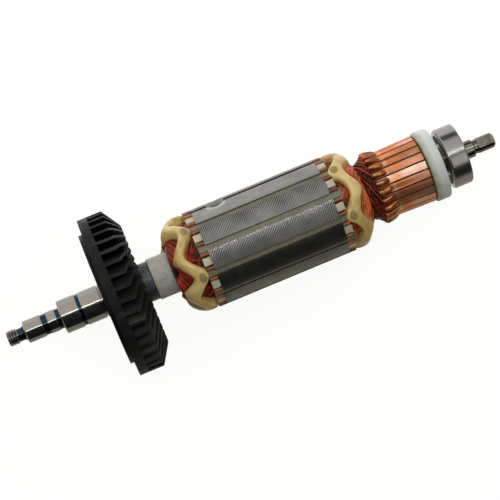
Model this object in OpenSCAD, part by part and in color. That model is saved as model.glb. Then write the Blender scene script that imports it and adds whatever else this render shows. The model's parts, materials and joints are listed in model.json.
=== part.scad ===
// Wound motor armature on its shaft. The shaft axis is X, the drive end points to -X,
// and the origin is the centre of the drive bearing seat.

/* [Drive end of the shaft] */
// Diameter of the drive bearing seat
seat_d = 12; // [11:0.1:13]
// Length of the drive bearing seat
seat_len = 6.6; // [5:0.1:9]
// Diameter of the pinion seat
pinion_d = 8; // [7:0.1:9]
// Length of the pinion seat
pinion_len = 6.45; // [5:0.05:9]
// Outer diameter of the threaded tip
thread_d = 6; // [5:0.1:6.4]
// Length of the threaded tip
thread_len = 3.55; // [3:0.05:8]
// Diameter of the relief behind the thread
relief_d = 4.6; // [4:0.1:4.9]
// Length of the relief behind the thread
relief_len = 2.9; // [2:0.1:4]
// Width of the groove beside the pinion seat
pinion_groove_w = 2.25; // [1:0.05:3]
// Depth of the grooves on the drive end
groove_depth = 0.3; // [0.1:0.05:0.6]
// Length of the land between the two grooves
neck_land_len = 3.1; // [2:0.1:5]
// Width of the groove beside the bearing seat
seat_groove_w = 1.65; // [1:0.05:3]
// Width of the relief between the two large lands
land_relief_w = 1.4; // [1:0.1:3]
// Length of the second large land
land_len = 6.95; // [5:0.05:10]
// Chamfer on the shaft shoulders
shaft_chamfer = 0.35; // [0.1:0.05:0.6]

/* [Commutator end of the shaft] */
// Diameter of the shaft under the commutator
hub_seat_d = 10; // [9.4:0.1:11]
// Diameter of the tail behind the bearing
tail_d = 6.5; // [6:0.1:7]
// Length of the tail behind the bearing
tail_len = 4.6; // [3:0.1:9]
// Diameter of the neck before the milled end
tail_neck_d = 5.1; // [4.6:0.1:5.3]
// Length of the neck before the milled end
tail_neck_len = 1.4; // [1:0.1:3]
// Diameter of the milled end
tip_d = 5.5; // [5.4:0.1:6]
// Length of the milled end
tip_len = 6.4; // [4:0.1:10]
// Distance across the two milled flats
tip_flats = 4.4; // [4:0.1:5]

/* [Fan] */
// Outer diameter of the fan
fan_d = 58.1; // [54:0.1:64]
// Number of vanes
fan_vanes = 40; // [30:1:44]
// Gap from the shaft land to the fan
fan_gap = 1.15; // [0.8:0.05:3]
// Diameter of the raised step on the back of the fan
fan_step_d = 48; // [44:0.1:50]
// Height of the raised step
fan_step_h = 1.5; // [1:0.1:3]
// Thickness of the back plate at the rim
fan_rim_w = 3.45; // [2.5:0.05:5]
// Length of the vanes from the back plate to their tips
vane_len = 10.05; // [8:0.05:13]
// Length of a vane at the rim
vane_rim_len = 5.55; // [4:0.05:7]
// Thickness of a vane
vane_t = 0.95; // [0.8:0.05:1.1]
// Sweep of a vane for each millimetre of radius
vane_sweep = 1.8; // [0:0.1:2]
// Diameter of the ring of vane tips
vane_tip_d = 43.2; // [40:0.1:46]
// Diameter of the circle where the vanes start
vane_root_d = 26; // [24:0.5:28]
// Diameter of the fan hub
fan_hub_d = 16.8; // [16:0.1:19]
// Distance from the vane tips back to the hub face
fan_hub_drop = 0.75; // [0.5:0.05:2]

/* [Sleeve] */
// Length of the collar that stands out of the fan
spacer_len = 3.95; // [3:0.05:7]
// Outer diameter of the collar
spacer_d = 14; // [13.6:0.1:14.6]
// Wall of the insulating sleeve
sleeve_wall = 1.5; // [1.2:0.1:2]
// Bare length of sleeve between the collar and the winding
sleeve_bare = 7.05; // [4:0.05:12]

/* [Core] */
// Outer diameter of the core
core_d = 35.1; // [34:0.1:38]
// Length of the core
core_len = 46.3; // [30:0.1:60]
// Number of slots
slots = 12; // [11:1:13]
// Width of a tooth between two slots
tooth_w = 2.8; // [2.4:0.1:3.2]
// Width of the slot mouth
mouth_w = 2; // [1.6:0.1:2.4]
// Depth of the slot mouth
mouth_depth = 1.2; // [1:0.05:1.6]
// Thickness of the core behind the slots
yoke_t = 2; // [1.5:0.1:2.4]
// Turn of the first slot about the shaft
slot_phase = -10; // [-15:1:15]
// Depth of the balancing notch
notch_depth = 1; // [0.5:0.1:1.1]
// Radius of the cutter that milled the notch
notch_cutter_r = 6.6; // [5:0.1:10]
// Distance from the core's drive end to the notch
notch_at = 9; // [8:0.5:20]
// Turn of the notch about the shaft
notch_phase = -74; // [-90:1:-60]

/* [Slot insulation] */
// Thickness of the slot liner
liner_t = 0.3; // [0.2:0.05:0.4]
// Width of a slot wedge
wedge_w = 2.8; // [2.6:0.1:3]
// Thickness of a slot wedge
wedge_t = 1.15; // [0.9:0.05:1.4]
// Length of the noses of the wedges at the commutator end
wedge_nose = 1.1; // [0.8:0.1:1.3]
// Length by which liners, wedges and end insulators stand out of the core
overhang = 2.9; // [2:0.1:4]

/* [Windings] */
// Length of the winding head at the drive end
drive_head_len = 10.8; // [9:0.1:14]
// Length of the winding head at the commutator end
comm_head_len = 9.7; // [8.5:0.1:13]
// Inset of the winding heads from the core surface
head_inset = 2.95; // [2.6:0.05:3.6]
// Length of the straight part of a winding head beside the core
head_flat = 2; // [1:0.1:2.6]
// Thickness of the drive end head where it meets the sleeve
drive_neck_t = 0.9; // [0.6:0.1:2]
// Thickness of the commutator end head at its waist
comm_neck_t = 1.7; // [1.2:0.1:2.4]
// Depth of the hollows between neighbouring coils
coil_ripple = 0.5; // [0.2:0.1:0.8]
// Width of a resin bead along the shaft
bead_w = 4.7; // [3.5:0.1:5.5]
// Thickness of a resin bead
bead_t = 2.9; // [2:0.1:3.2]
// Number of turns in the zig-zag of a bead
bead_waves = 6; // [5:1:7]
// Travel of the drive end bead along the shaft
drive_bead_swing = 4.8; // [2:0.1:4.8]
// Travel of the commutator end bead along the shaft
comm_bead_swing = 3.2; // [2:0.1:3.6]
// Diameter of a lead wire
lead_d = 0.8; // [0.5:0.05:0.85]
// Length of the leads along the shaft
lead_len = 3.7; // [3:0.1:5]
// Turn of a lead about the shaft on its way to the hook
lead_turn = 30; // [0:1:32]

/* [Commutator] */
// Diameter of the brush track
track_d = 24.5; // [24:0.1:26]
// Length of the commutator bars
bar_len = 19.2; // [16:0.1:26]
// Number of bars for each slot
bars_per_slot = 2; // [2:1:2]
// Width of the gap between two bars
bar_gap = 0.6; // [0.4:0.05:0.8]
// Depth of the gap below the brush track
undercut = 0.95; // [0.6:0.05:1]
// Turn of the first gap about the shaft
bar_phase = 3.6; // [0:0.1:15]
// Diameter over the hooks
hook_d = 26.6; // [26:0.1:27.4]
// Length of a hook
hook_len = 4.8; // [4:0.1:7]
// Width of a hook
hook_w = 1.9; // [1.4:0.1:2]
// Length of the hub in front of the bars
hub_nose_len = 1.3; // [1:0.1:2]
// Length of the hub behind the bars
hub_collar_len = 0.4; // [0.3:0.1:1.5]
// Outer diameter of the insulating ring
ring_d = 25.8; // [25:0.1:28]
// Length of the insulating ring
ring_len = 5.3; // [4:0.1:8]

/* [Bearing] */
// Bore of the ball bearing
bearing_bore = 8; // [7.6:0.1:8.4]
// Outer diameter of the ball bearing
bearing_od = 22; // [21.4:0.1:23]
// Width of the ball bearing
bearing_w = 7; // [6.8:0.1:8]
// Diameter of a ball
ball_d = 3.969; // [3.6:0.001:4]
// Number of balls
balls = 7; // [6:1:7]
// Gap from the insulating ring to the bearing
bearing_gap = 2.2; // [0.5:0.1:3]
// Depth of the seals below the bearing faces
seal_recess = 0.25; // [0.1:0.05:0.4]
// Thickness of a bearing seal
seal_t = 0.6; // [0.4:0.05:0.7]

/* [Clearances] */
// Clearance round the coils, liners and wedges
slot_fit = 0.03; // [0.01:0.01:0.06]
// Gap between the winding heads and what they surround or carry
head_fit = 0.15; // [0.1:0.05:0.3]
// Gap between a resin bead and the end of the core insulation
bead_fit = 0.05; // [0.02:0.01:0.15]
// Running clearance of the balls in their races
ball_fit = 0.03; // [0.01:0.01:0.06]
// Running clearance of the seal lips
lip_fit = 0.05; // [0.02:0.01:0.1]

/* [Hidden] */
$fn = 96;

// Radii
seat_r = seat_d / 2;
neck_r = pinion_d / 2;
hub_seat_r = hub_seat_d / 2;
sleeve_r = seat_r + sleeve_wall;
core_r = core_d / 2;
track_r = track_d / 2;
hook_r = hook_d / 2;
journal_r = bearing_bore / 2;

// Places along the shaft, counted from the middle of the drive bearing seat
seat_x0 = -seat_len / 2;
seat_x1 = seat_len / 2;
neck_land_x0 = seat_x0 - seat_groove_w - neck_land_len;
pinion_x1 = neck_land_x0 - pinion_groove_w;
pinion_x0 = pinion_x1 - pinion_len;
thread_x1 = pinion_x0 - relief_len;
thread_x0 = thread_x1 - thread_len;
land_x0 = seat_x1 + land_relief_w;
land_x1 = land_x0 + land_len;
fan_x0 = land_x1 + fan_gap;
fan_plate_x1 = fan_x0 + fan_step_h + fan_rim_w;
vane_x1 = fan_plate_x1 + vane_len;
fan_hub_x1 = vane_x1 - fan_hub_drop;
sleeve_x0 = fan_hub_x1 + spacer_len;
drive_head_x0 = sleeve_x0 + sleeve_bare;
drive_head_x1 = drive_head_x0 + drive_head_len;
core_x0 = drive_head_x1 + overhang;
core_x1 = core_x0 + core_len;
comm_head_x0 = core_x1 + overhang;
comm_head_x1 = comm_head_x0 + comm_head_len;
bar_x0 = comm_head_x1 + lead_len;
bar_x1 = bar_x0 + bar_len;
hub_x0 = bar_x0 - hub_nose_len;
hub_x1 = bar_x1 + hub_collar_len;
ring_x1 = hub_x1 + ring_len;
bearing_x0 = ring_x1 + bearing_gap;
bearing_x1 = bearing_x0 + bearing_w;
tail_x1 = bearing_x1 + tail_len;
tip_x0 = tail_x1 + tail_neck_len;
tip_x1 = tip_x0 + tip_len;

// Turns what is built along +Z on to the shaft axis, with its zero angle at +Z of the part
module on_shaft(x = 0)
  translate([x, 0, 0]) rotate([0, 90, 0]) rotate(180) children();

// Solid of revolution about the shaft, from a list of [radius, place along the shaft]
module turned(profile)
  on_shaft() rotate_extrude() polygon(profile);

// Copies the children round the shaft, count times from the angle start
module round_shaft(count, start = 0)
  for (i = [0 : count - 1]) rotate(start + i * 360 / count) children();

function blend(a, b, t) = a + (b - a) * t;
function polar(r, a) = [r * cos(a), r * sin(a)];

// ---- Shaft

neck_groove_r = neck_r - groove_depth;
land_groove_r = seat_r - groove_depth;
snap_groove_w = 0.4;
snap_groove_r = seat_r - 2 * groove_depth;
relief_cone_len = 1.1;

module shaft() {
  c = shaft_chamfer;
  color([0.72, 0.70, 0.68]) difference() {
    turned([
      [0, thread_x0], [thread_d / 2 - 2 * c, thread_x0], [thread_d / 2, thread_x0 + 2 * c],
      [thread_d / 2, thread_x1 - c], [relief_d / 2, thread_x1],
      [relief_d / 2, pinion_x0 - relief_cone_len], [thread_d / 2 - c / 2, pinion_x0],
      [neck_r - c, pinion_x0], [neck_r, pinion_x0 + c],
      [neck_r, pinion_x1], [neck_groove_r, pinion_x1],
      [neck_groove_r, neck_land_x0], [neck_r - c / 4, neck_land_x0],
      [neck_r - c / 4, seat_x0 - seat_groove_w], [neck_groove_r, seat_x0 - seat_groove_w],
      [neck_groove_r, seat_x0], [seat_r - c, seat_x0], [seat_r, seat_x0 + c],
      [seat_r, seat_x1], [land_groove_r, seat_x1], [land_groove_r, land_x0],
      [seat_r, land_x0], [seat_r, land_x1], [snap_groove_r, land_x1],
      [snap_groove_r, land_x1 + snap_groove_w], [seat_r, land_x1 + snap_groove_w],
      [seat_r, hub_x0], [hub_seat_r, hub_x0], [hub_seat_r, bearing_x0],
      [journal_r, bearing_x0], [journal_r, bearing_x1 - c], [journal_r - c, bearing_x1],
      [tail_d / 2, bearing_x1], [tail_d / 2, tail_x1 - c], [tail_neck_d / 2, tail_x1],
      [tail_neck_d / 2, tip_x0 - c / 2], [tip_d / 2, tip_x0],
      [tip_d / 2, tip_x1 - 2 * c], [tip_d / 2 - 2 * c, tip_x1], [0, tip_x1]
    ]);
    // Two flats milled on the tail end
    on_shaft(tip_x0 + shaft_chamfer) rotate(-15) for (side = [0, 180])
      rotate(side) translate([tip_flats / 2, -tip_d, 0]) cube([tip_d, 2 * tip_d, 2 * tip_len]);
  }
}

// ---- Fan

fan_r = fan_d / 2;
fan_step_wall = 4;
fan_web_t = 2.6;
vane_steps = 6;

// Edge of a vane: a spiral that turns as the radius falls
function vane_edge(side) = [
  for (i = [0 : vane_steps])
    let (r = blend(vane_root_d / 2 - 1, fan_r + 1, i / vane_steps))
    polar(r, vane_sweep * (r - fan_r) + side * vane_t / r * 90 / PI * vane_slant)
];
// Widens the section so that the slanted vane keeps its true thickness
vane_slant = sqrt(1 + pow(vane_sweep * PI / 180 * (fan_r + vane_tip_d / 2) / 2, 2));

module vane_section()
  polygon(concat(vane_edge(-1), [for (i = [vane_steps : -1 : 0]) vane_edge(1)[i]]));

module fan() {
  root_x = fan_plate_x1 - 0.3;
  inner_step_x = fan_hub_x1 - 1.2;
  color([0.11, 0.11, 0.11]) {
    turned([
      [seat_r, fan_x0], [fan_hub_d / 2 + 1, fan_x0], [fan_hub_d / 2 + 1, fan_plate_x1 - fan_web_t],
      [fan_step_d / 2 - fan_step_wall, fan_plate_x1 - fan_web_t],
      [fan_step_d / 2 - fan_step_wall, fan_x0], [fan_step_d / 2, fan_x0],
      [fan_step_d / 2, fan_x0 + fan_step_h], [fan_r, fan_x0 + fan_step_h],
      [fan_r, fan_plate_x1], [vane_root_d / 2 + 0.5, fan_plate_x1], [vane_root_d / 2 + 0.5, inner_step_x],
      [fan_hub_d / 2, inner_step_x], [fan_hub_d / 2, fan_hub_x1], [seat_r, fan_hub_x1]
    ]);
    intersection() {
      on_shaft(root_x) linear_extrude(vane_len + 1)
        round_shaft(fan_vanes, -3.3) vane_section();
      turned([
        [vane_root_d / 2, root_x], [fan_r, root_x], [fan_r, fan_plate_x1 + vane_rim_len],
        [vane_tip_d / 2 + 0.3, vane_x1], [vane_tip_d / 2 - 0.3, vane_x1],
        [vane_tip_d / 2 - 3.5, inner_step_x], [vane_root_d / 2, inner_step_x]
      ]);
    }
  }
}

module fan_spacer()
  color([0.62, 0.64, 0.66]) turned([
    [seat_r, fan_hub_x1], [spacer_d / 2, fan_hub_x1], [spacer_d / 2, sleeve_x0 - 0.2],
    [spacer_d / 2 - 0.2, sleeve_x0], [seat_r, sleeve_x0]
  ]);

module shaft_sleeve()
  color([0.70, 0.67, 0.62]) turned([
    [seat_r, sleeve_x0], [sleeve_r - 0.2, sleeve_x0], [sleeve_r, sleeve_x0 + 0.2],
    [sleeve_r, hub_x0], [seat_r, hub_x0]
  ]);

// ---- Core and slot insulation

half_pitch = 180 / slots;
lip_r = core_r - mouth_depth;
wedge_r0 = lip_r - slot_fit - wedge_t;
pocket_half_w = wedge_w / 2 + 2 * slot_fit + liner_t;
slot_top_r = lip_r - 0.6;
slot_bottom_r = sleeve_r + yoke_t;
// Centres of the two round ends of a slot, whose flanks run along the teeth
slot_outer_c = (slot_top_r + tooth_w / 2) / (1 + sin(half_pitch));
slot_inner_c = (slot_bottom_r - tooth_w / 2) / (1 - sin(half_pitch));
function slot_half_w(c) = c * sin(half_pitch) - tooth_w / 2;

// Points of an arc round a centre on the X axis
function arc(c, r, a0, a1, steps = 10) =
  [for (i = [0 : steps]) [c, 0] + polar(r, blend(a0, a1, i / steps))];

// Round-ended slot, along +X of the section, smaller all round by the inset
module slot_body(inset = 0) {
  flank = 90 + half_pitch;
  polygon(concat(
    arc(slot_outer_c, slot_half_w(slot_outer_c) - inset, -flank, flank),
    arc(slot_inner_c, slot_half_w(slot_inner_c) - inset, flank, 360 - flank)
  ));
}

// Bar of the section along +X, from one radius to another
module radial_bar(r0, r1, half_w)
  translate([r0, -half_w]) square([r1 - r0, 2 * half_w]);

module core() {
  color([0.50, 0.51, 0.52]) difference() {
    on_shaft(core_x0) linear_extrude(core_len) difference() {
      circle(core_r);
      circle(sleeve_r);
      round_shaft(slots, slot_phase) {
        slot_body();
        radial_bar(slot_outer_c, lip_r, pocket_half_w);
        radial_bar(slot_outer_c, core_r + 1, mouth_w / 2);
      }
    }
    // Balancing notch, milled straight across the teeth
    on_shaft(core_x0 + notch_at) rotate(notch_phase)
      translate([core_r - notch_depth + notch_cutter_r, 0, 0]) rotate([90, 0, 0])
      cylinder(r = notch_cutter_r, h = core_d, center = true);
  }
}

// White spider with an arm on every tooth
module end_insulator(x)
  color([0.86, 0.85, 0.80]) on_shaft(x) linear_extrude(overhang) difference() {
    union() {
      circle(slot_bottom_r - slot_fit);
      round_shaft(slots, slot_phase + half_pitch) radial_bar(sleeve_r, core_r - 0.3, tooth_w / 2);
    }
    circle(sleeve_r);
  }

module drive_end_insulator() end_insulator(core_x0 - overhang);
module commutator_end_insulator() end_insulator(core_x1);

slot_run_x0 = core_x0 - overhang;
slot_run_len = core_len + 2 * overhang;

module slot_liners()
  color([0.45, 0.27, 0.14]) on_shaft(slot_run_x0) linear_extrude(slot_run_len)
    round_shaft(slots, slot_phase) difference() {
      union() {
        slot_body(slot_fit);
        radial_bar(slot_outer_c, lip_r - slot_fit, pocket_half_w - slot_fit);
      }
      slot_body(slot_fit + liner_t);
      radial_bar(slot_outer_c, core_r, wedge_w / 2 + slot_fit);
    }

module slot_coils()
  color([0.45, 0.10, 0.06]) on_shaft(slot_run_x0) linear_extrude(slot_run_len)
    round_shaft(slots, slot_phase) difference() {
      slot_body(2 * slot_fit + liner_t);
      radial_bar(wedge_r0 - slot_fit, core_r, core_r / 4);
    }

// A wedge reaches out of the commutator end as a flat nose where the bead leaves room for it
function nose_fits(a) = zigzag(a - bead_phase) * comm_bead_swing > 1.6 * wedge_nose;
nose_half_w = tooth_w * 0.8;
nose_rise = 0.15;

module wedge_nose_plate()
  translate([wedge_r0 - nose_rise, 0, slot_run_len + slot_fit]) rotate([90, 0, 90])
    linear_extrude(wedge_t + 2 * nose_rise)
      polygon([for (k = [0 : 8]) [nose_half_w * cos(22.5 * k), wedge_nose * sin(22.5 * k)]]);

module slot_wedges()
  color([0.42, 0.42, 0.34]) on_shaft(slot_run_x0)
    for (i = [0 : slots - 1]) {
      a = slot_phase + i * 360 / slots;
      rotate(a) {
        linear_extrude(slot_run_len + (nose_fits(a) ? wedge_nose / 2 : 0)) {
          radial_bar(wedge_r0, wedge_r0 + wedge_t, wedge_w / 2);
          radial_bar(wedge_r0, core_r - mouth_depth / 2, mouth_w / 2 - 2 * slot_fit);
        }
        if (nose_fits(a)) wedge_nose_plate();
      }
    }

// ---- Winding heads, resin beads and leads

head_r = core_r - head_inset;
drive_neck_r = sleeve_r + drive_neck_t;
comm_neck_r = sleeve_r + comm_neck_t;
head_steps = 8;
head_columns = 6 * slots;

// Surface radius of a head at the depth t, from 0 on its shoulder to 1 at its neck
function dome_r(neck, t) = neck + (head_r - neck) * sqrt(max(0, 1 - t * t));
// The same against the distance d from the end that faces the core
function dome_at(neck, len, d) = dome_r(neck, min(1, max(0, (d - head_flat) / (len - head_flat))));
// Hollows between the coils, which lean round the dome
function ripple(a, t) = coil_ripple * (1 - cos(slots * (a - slot_phase) + 140 * t)) / 2;

// Closed ring of quads from rows of points, each row a closed section at its own angle
module ring_solid(sections) {
  n = len(sections);
  m = len(sections[0]);
  polyhedron(
    [for (s = sections) each s],
    [for (i = [0 : n - 1], j = [0 : m - 1])
      let (a = i * m, b = ((i + 1) % n) * m, k = (j + 1) % m)
      each [[a + j, b + k, b + j], [a + j, a + k, b + k]]]
  );
}

// Winding head from the plane facing the core, built towards +Z
module winding_head(len, neck) {
  bore = sleeve_r + head_fit;
  sections = [for (i = [0 : head_columns - 1])
    let (a = i * 360 / head_columns)
    concat(
      [[bore, 0]],
      [for (j = [0 : head_steps])
        let (t = sin(90 * j / head_steps), z = blend(head_flat, len, t))
        [dome_r(neck, t) - ripple(a, t) * cos(90 * j / head_steps), j == 0 ? 0 : z]],
      [[bore, len]]
    )];
  ring_solid([for (i = [0 : head_columns - 1])
    let (a = i * 360 / head_columns)
    [for (p = sections[i]) concat(polar(p[0], a), p[1])]]);
}

bead_steps = 12;
bead_phase = slot_phase - 360 / slots;
bead_shape = [[-0.5, 0], [-0.17, 0], [0.17, 0], [0.5, 0], [0.42, 0.6], [0.22, 0.92], [0, 1],
  [-0.22, 0.92], [-0.42, 0.6]];
zigzag_k = 0.75;
// Rounded zig-zag of the angle, from 0 to 1 and back bead_waves times in a turn
function zigzag(a) =
  let (low = acos(zigzag_k))
  (acos(zigzag_k * cos(bead_waves * a)) - low) / (180 - 2 * low);

// Resin bead laid over a head, trimmed at the core's own diameter
module bead(len, neck, swing) {
  count = bead_steps * bead_waves;
  ring_solid([for (i = [0 : count - 1])
    let (a = i * 360 / count, mid = bead_fit + bead_w / 2 + swing * zigzag(a))
    [for (p = bead_shape)
      let (d = mid + p[0] * bead_w, r = dome_at(neck, len, d) + head_fit + p[1] * bead_t)
      concat(polar(min(r, core_r), a), d)]]);
}

// Turns what is built for the commutator end round to face the drive end
module toward_drive(x) on_shaft(x) rotate([180, 0, 0]) children();

module drive_end_winding()
  color([0.42, 0.07, 0.05]) toward_drive(drive_head_x1) rotate(-2 * slot_phase)
    winding_head(drive_head_len, drive_neck_r);

module commutator_end_winding()
  color([0.60, 0.20, 0.12]) on_shaft(comm_head_x0) winding_head(comm_head_len, comm_neck_r);

module drive_end_bead()
  color([0.80, 0.70, 0.45]) toward_drive(drive_head_x1) rotate(-bead_phase)
    bead(drive_head_len, drive_neck_r, drive_bead_swing);

module commutator_end_bead()
  color([0.80, 0.72, 0.50]) on_shaft(comm_head_x0) rotate(bead_phase)
    bead(comm_head_len, comm_neck_r, comm_bead_swing);

bars = slots * bars_per_slot;
bar_mid = bar_phase + 180 / bars;
// Place of the eye for the lead, below the top of a hook and behind its front
hook_eye_drop = 1.25;
hook_eye_x = 1.5;
lead_rings = 7;
lead_sides = 6;
lead_r0 = comm_neck_r - lead_d / 2 - 0.1;
lead_r1 = hook_r - hook_eye_drop + 0.2;
function ease(t) = t * t * (3 - 2 * t);
function ease_slope(t) = 6 * t * (1 - t);
function lead_r(t) = blend(lead_r0, lead_r1, ease(t));
function lead_a(t) = lead_turn * (ease(t) - 1);

// One lead from the end of the winding to a hook at angle 0
module lead() {
  rings = [for (i = [0 : lead_rings - 1])
    let (
      t = i / (lead_rings - 1), r = lead_r(t), a = lead_a(t),
      rise = (lead_r1 - lead_r0) * ease_slope(t),
      turn = r * lead_turn * PI / 180 * ease_slope(t),
      run = norm([rise, turn, lead_len]),
      along = [rise, turn, lead_len] / run,
      side = cross([1, 0, 0], along) / norm(cross([1, 0, 0], along)),
      up = cross(along, side)
    )
    [for (j = [0 : lead_sides - 1])
      let (w = 360 * j / lead_sides, p = lead_d / 2 * (cos(w) * side + sin(w) * up))
      [(r + p[0]) * cos(a) - p[1] * sin(a), (r + p[0]) * sin(a) + p[1] * cos(a), lead_len * t + p[2]]]];
  m = lead_sides;
  last = (lead_rings - 1) * m;
  polyhedron(
    [for (ring = rings) each ring],
    concat(
      [[for (j = [m - 1 : -1 : 0]) j]],
      [for (i = [0 : lead_rings - 2], j = [0 : m - 1])
        let (a = i * m, b = a + m, k = (j + 1) % m)
        each [[a + j, a + k, b + k], [a + j, b + k, b + j]]],
      [[for (j = [0 : m - 1]) last + j]]
    )
  );
}

module lead_wires()
  color([0.62, 0.22, 0.13]) on_shaft(comm_head_x1) round_shaft(bars, bar_mid) lead();

// ---- Commutator

bar_root_r = track_r - 1.35;
dovetail_r = bar_root_r - 1.5;
bar_shelf_r = track_r - 0.75;
fin_r = track_r - undercut;
// Travel along the shaft of each slanted face of the dovetail
dovetail_run = 0.9;

// One plate for each gap between two bars
module bar_gaps()
  on_shaft(bar_x0 - 1) round_shaft(bars, bar_phase)
    translate([dovetail_r - 0.4, -bar_gap / 2, 0]) cube([hook_r, bar_gap, bar_len + 2]);

module hooks() {
  body_x = hook_len * 0.66;
  round_part = 0.45;
  foot_r = bar_root_r + 0.25;
  on_shaft(bar_x0) round_shaft(bars, bar_mid) rotate([90, 0, 0])
    linear_extrude(hook_w, center = true) difference() {
      polygon([
        [foot_r, 0], [hook_r - round_part, 0], [hook_r, round_part], [hook_r, body_x],
        [hook_r - round_part, hook_len * 0.92], [track_r + 0.2, hook_len], [foot_r, hook_len]
      ]);
      translate([hook_r - hook_eye_drop, hook_eye_x]) circle(lead_d / 2 + 0.05);
    }
}

module commutator_bars() {
  d = dovetail_run;
  shelf_x1 = bar_x0 + hook_len - 0.5;
  color([0.85, 0.52, 0.38]) {
    difference() {
      turned([
        [bar_root_r, bar_x0], [bar_shelf_r, bar_x0], [bar_shelf_r, shelf_x1],
        [track_r, shelf_x1], [track_r, bar_x1 - 0.3], [track_r - 0.3, bar_x1],
        [bar_root_r, bar_x1], [bar_root_r, bar_x1 - 2 * d], [dovetail_r, bar_x1 - d],
        [dovetail_r, bar_x0 + d], [bar_root_r, bar_x0 + 2 * d]
      ]);
      bar_gaps();
    }
    hooks();
  }
}

module commutator_hub() {
  d = dovetail_run;
  color([0.20, 0.12, 0.08]) {
    turned([
      [hub_seat_r, hub_x0], [bar_root_r - 1.3, hub_x0], [bar_root_r - 0.7, hub_x0 + 0.5],
      [bar_root_r, bar_x0], [bar_root_r, bar_x0 + 2 * d], [dovetail_r, bar_x0 + d],
      [dovetail_r, bar_x1 - d], [bar_root_r, bar_x1 - 2 * d], [bar_root_r, bar_x1],
      [track_r - 0.25, bar_x1], [track_r - 0.25, hub_x1], [hub_seat_r, hub_x1]
    ]);
    intersection() {
      bar_gaps();
      turned([
        [dovetail_r - 0.3, bar_x0], [fin_r, bar_x0], [fin_r, bar_x1 + 0.2],
        [dovetail_r - 0.3, bar_x1 + 0.2]
      ]);
    }
  }
}

module insulating_ring() {
  c = 0.5;
  color([0.80, 0.82, 0.76]) turned([
    [hub_seat_r, hub_x1], [ring_d / 2 - c, hub_x1], [ring_d / 2, hub_x1 + c],
    [ring_d / 2, ring_x1 - c], [ring_d / 2 - c, ring_x1], [hub_seat_r, ring_x1]
  ]);
}

// ---- Ball bearing

pitch_r = (bearing_bore + bearing_od) / 4;
inner_land_r = pitch_r - ball_d * 0.378;
outer_land_r = pitch_r + ball_d * 0.315;
seal_seat_r = outer_land_r + 0.3;
seal_depth = seal_recess + seal_t;
race_r = ball_d / 2 + ball_fit;
cage_half_w = bearing_w / 2 - seal_depth - 0.25;
ring_round = 0.7;

module on_bearing() on_shaft((bearing_x0 + bearing_x1) / 2) children();
module race_groove() rotate_extrude() translate([pitch_r, 0]) circle(race_r);

module bearing_inner_ring() {
  h = bearing_w / 2;
  c = ring_round / 2;
  color([0.75, 0.75, 0.76]) on_bearing() difference() {
    rotate_extrude() polygon([
      [journal_r, -h], [inner_land_r - c, -h], [inner_land_r, c - h],
      [inner_land_r, h - c], [inner_land_r - c, h], [journal_r, h]
    ]);
    race_groove();
  }
}

module bearing_outer_ring() {
  h = bearing_w / 2;
  c = ring_round;
  r = bearing_od / 2;
  color([0.78, 0.78, 0.79]) on_bearing() difference() {
    rotate_extrude() polygon([
      [seal_seat_r, -h], [r - c, -h], [r - c * 0.3, c * 0.3 - h], [r, c - h],
      [r, h - c], [r - c * 0.3, h - c * 0.3], [r - c, h], [seal_seat_r, h],
      [seal_seat_r, h - seal_depth], [outer_land_r, h - seal_depth],
      [outer_land_r, seal_depth - h], [seal_seat_r, seal_depth - h]
    ]);
    race_groove();
  }
}

module bearing_balls()
  color([0.85, 0.85, 0.86]) on_bearing() round_shaft(balls) translate([pitch_r, 0, 0]) sphere(d = ball_d);

module bearing_cage()
  color([0.35, 0.30, 0.25]) on_bearing() difference() {
    rotate_extrude() translate([pitch_r - ball_d * 0.2, -0.4])
      square([ball_d * 0.4, cage_half_w + 0.4]);
    round_shaft(balls) translate([pitch_r, 0, 0]) sphere(d = ball_d + 2 * ball_fit);
  }

module bearing_seal(face)
  color([0.06, 0.06, 0.06]) on_bearing() mirror([0, 0, face]) rotate_extrude()
    translate([inner_land_r + lip_fit, bearing_w / 2 - seal_depth])
    square([seal_seat_r - inner_land_r - lip_fit, seal_t]);

module bearing_seal_inboard() bearing_seal(1);
module bearing_seal_outboard() bearing_seal(0);

shaft();
fan();
fan_spacer();
shaft_sleeve();
core();
drive_end_insulator();
commutator_end_insulator();
slot_liners();
slot_wedges();
slot_coils();
drive_end_winding();
commutator_end_winding();
drive_end_bead();
commutator_end_bead();
lead_wires();
commutator_hub();
commutator_bars();
insulating_ring();
bearing_inner_ring();
bearing_outer_ring();
bearing_balls();
bearing_cage();
bearing_seal_inboard();
bearing_seal_outboard();
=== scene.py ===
import json
import math
import random

import bmesh
import bpy
from mathutils import Matrix, Vector, noise

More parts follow.
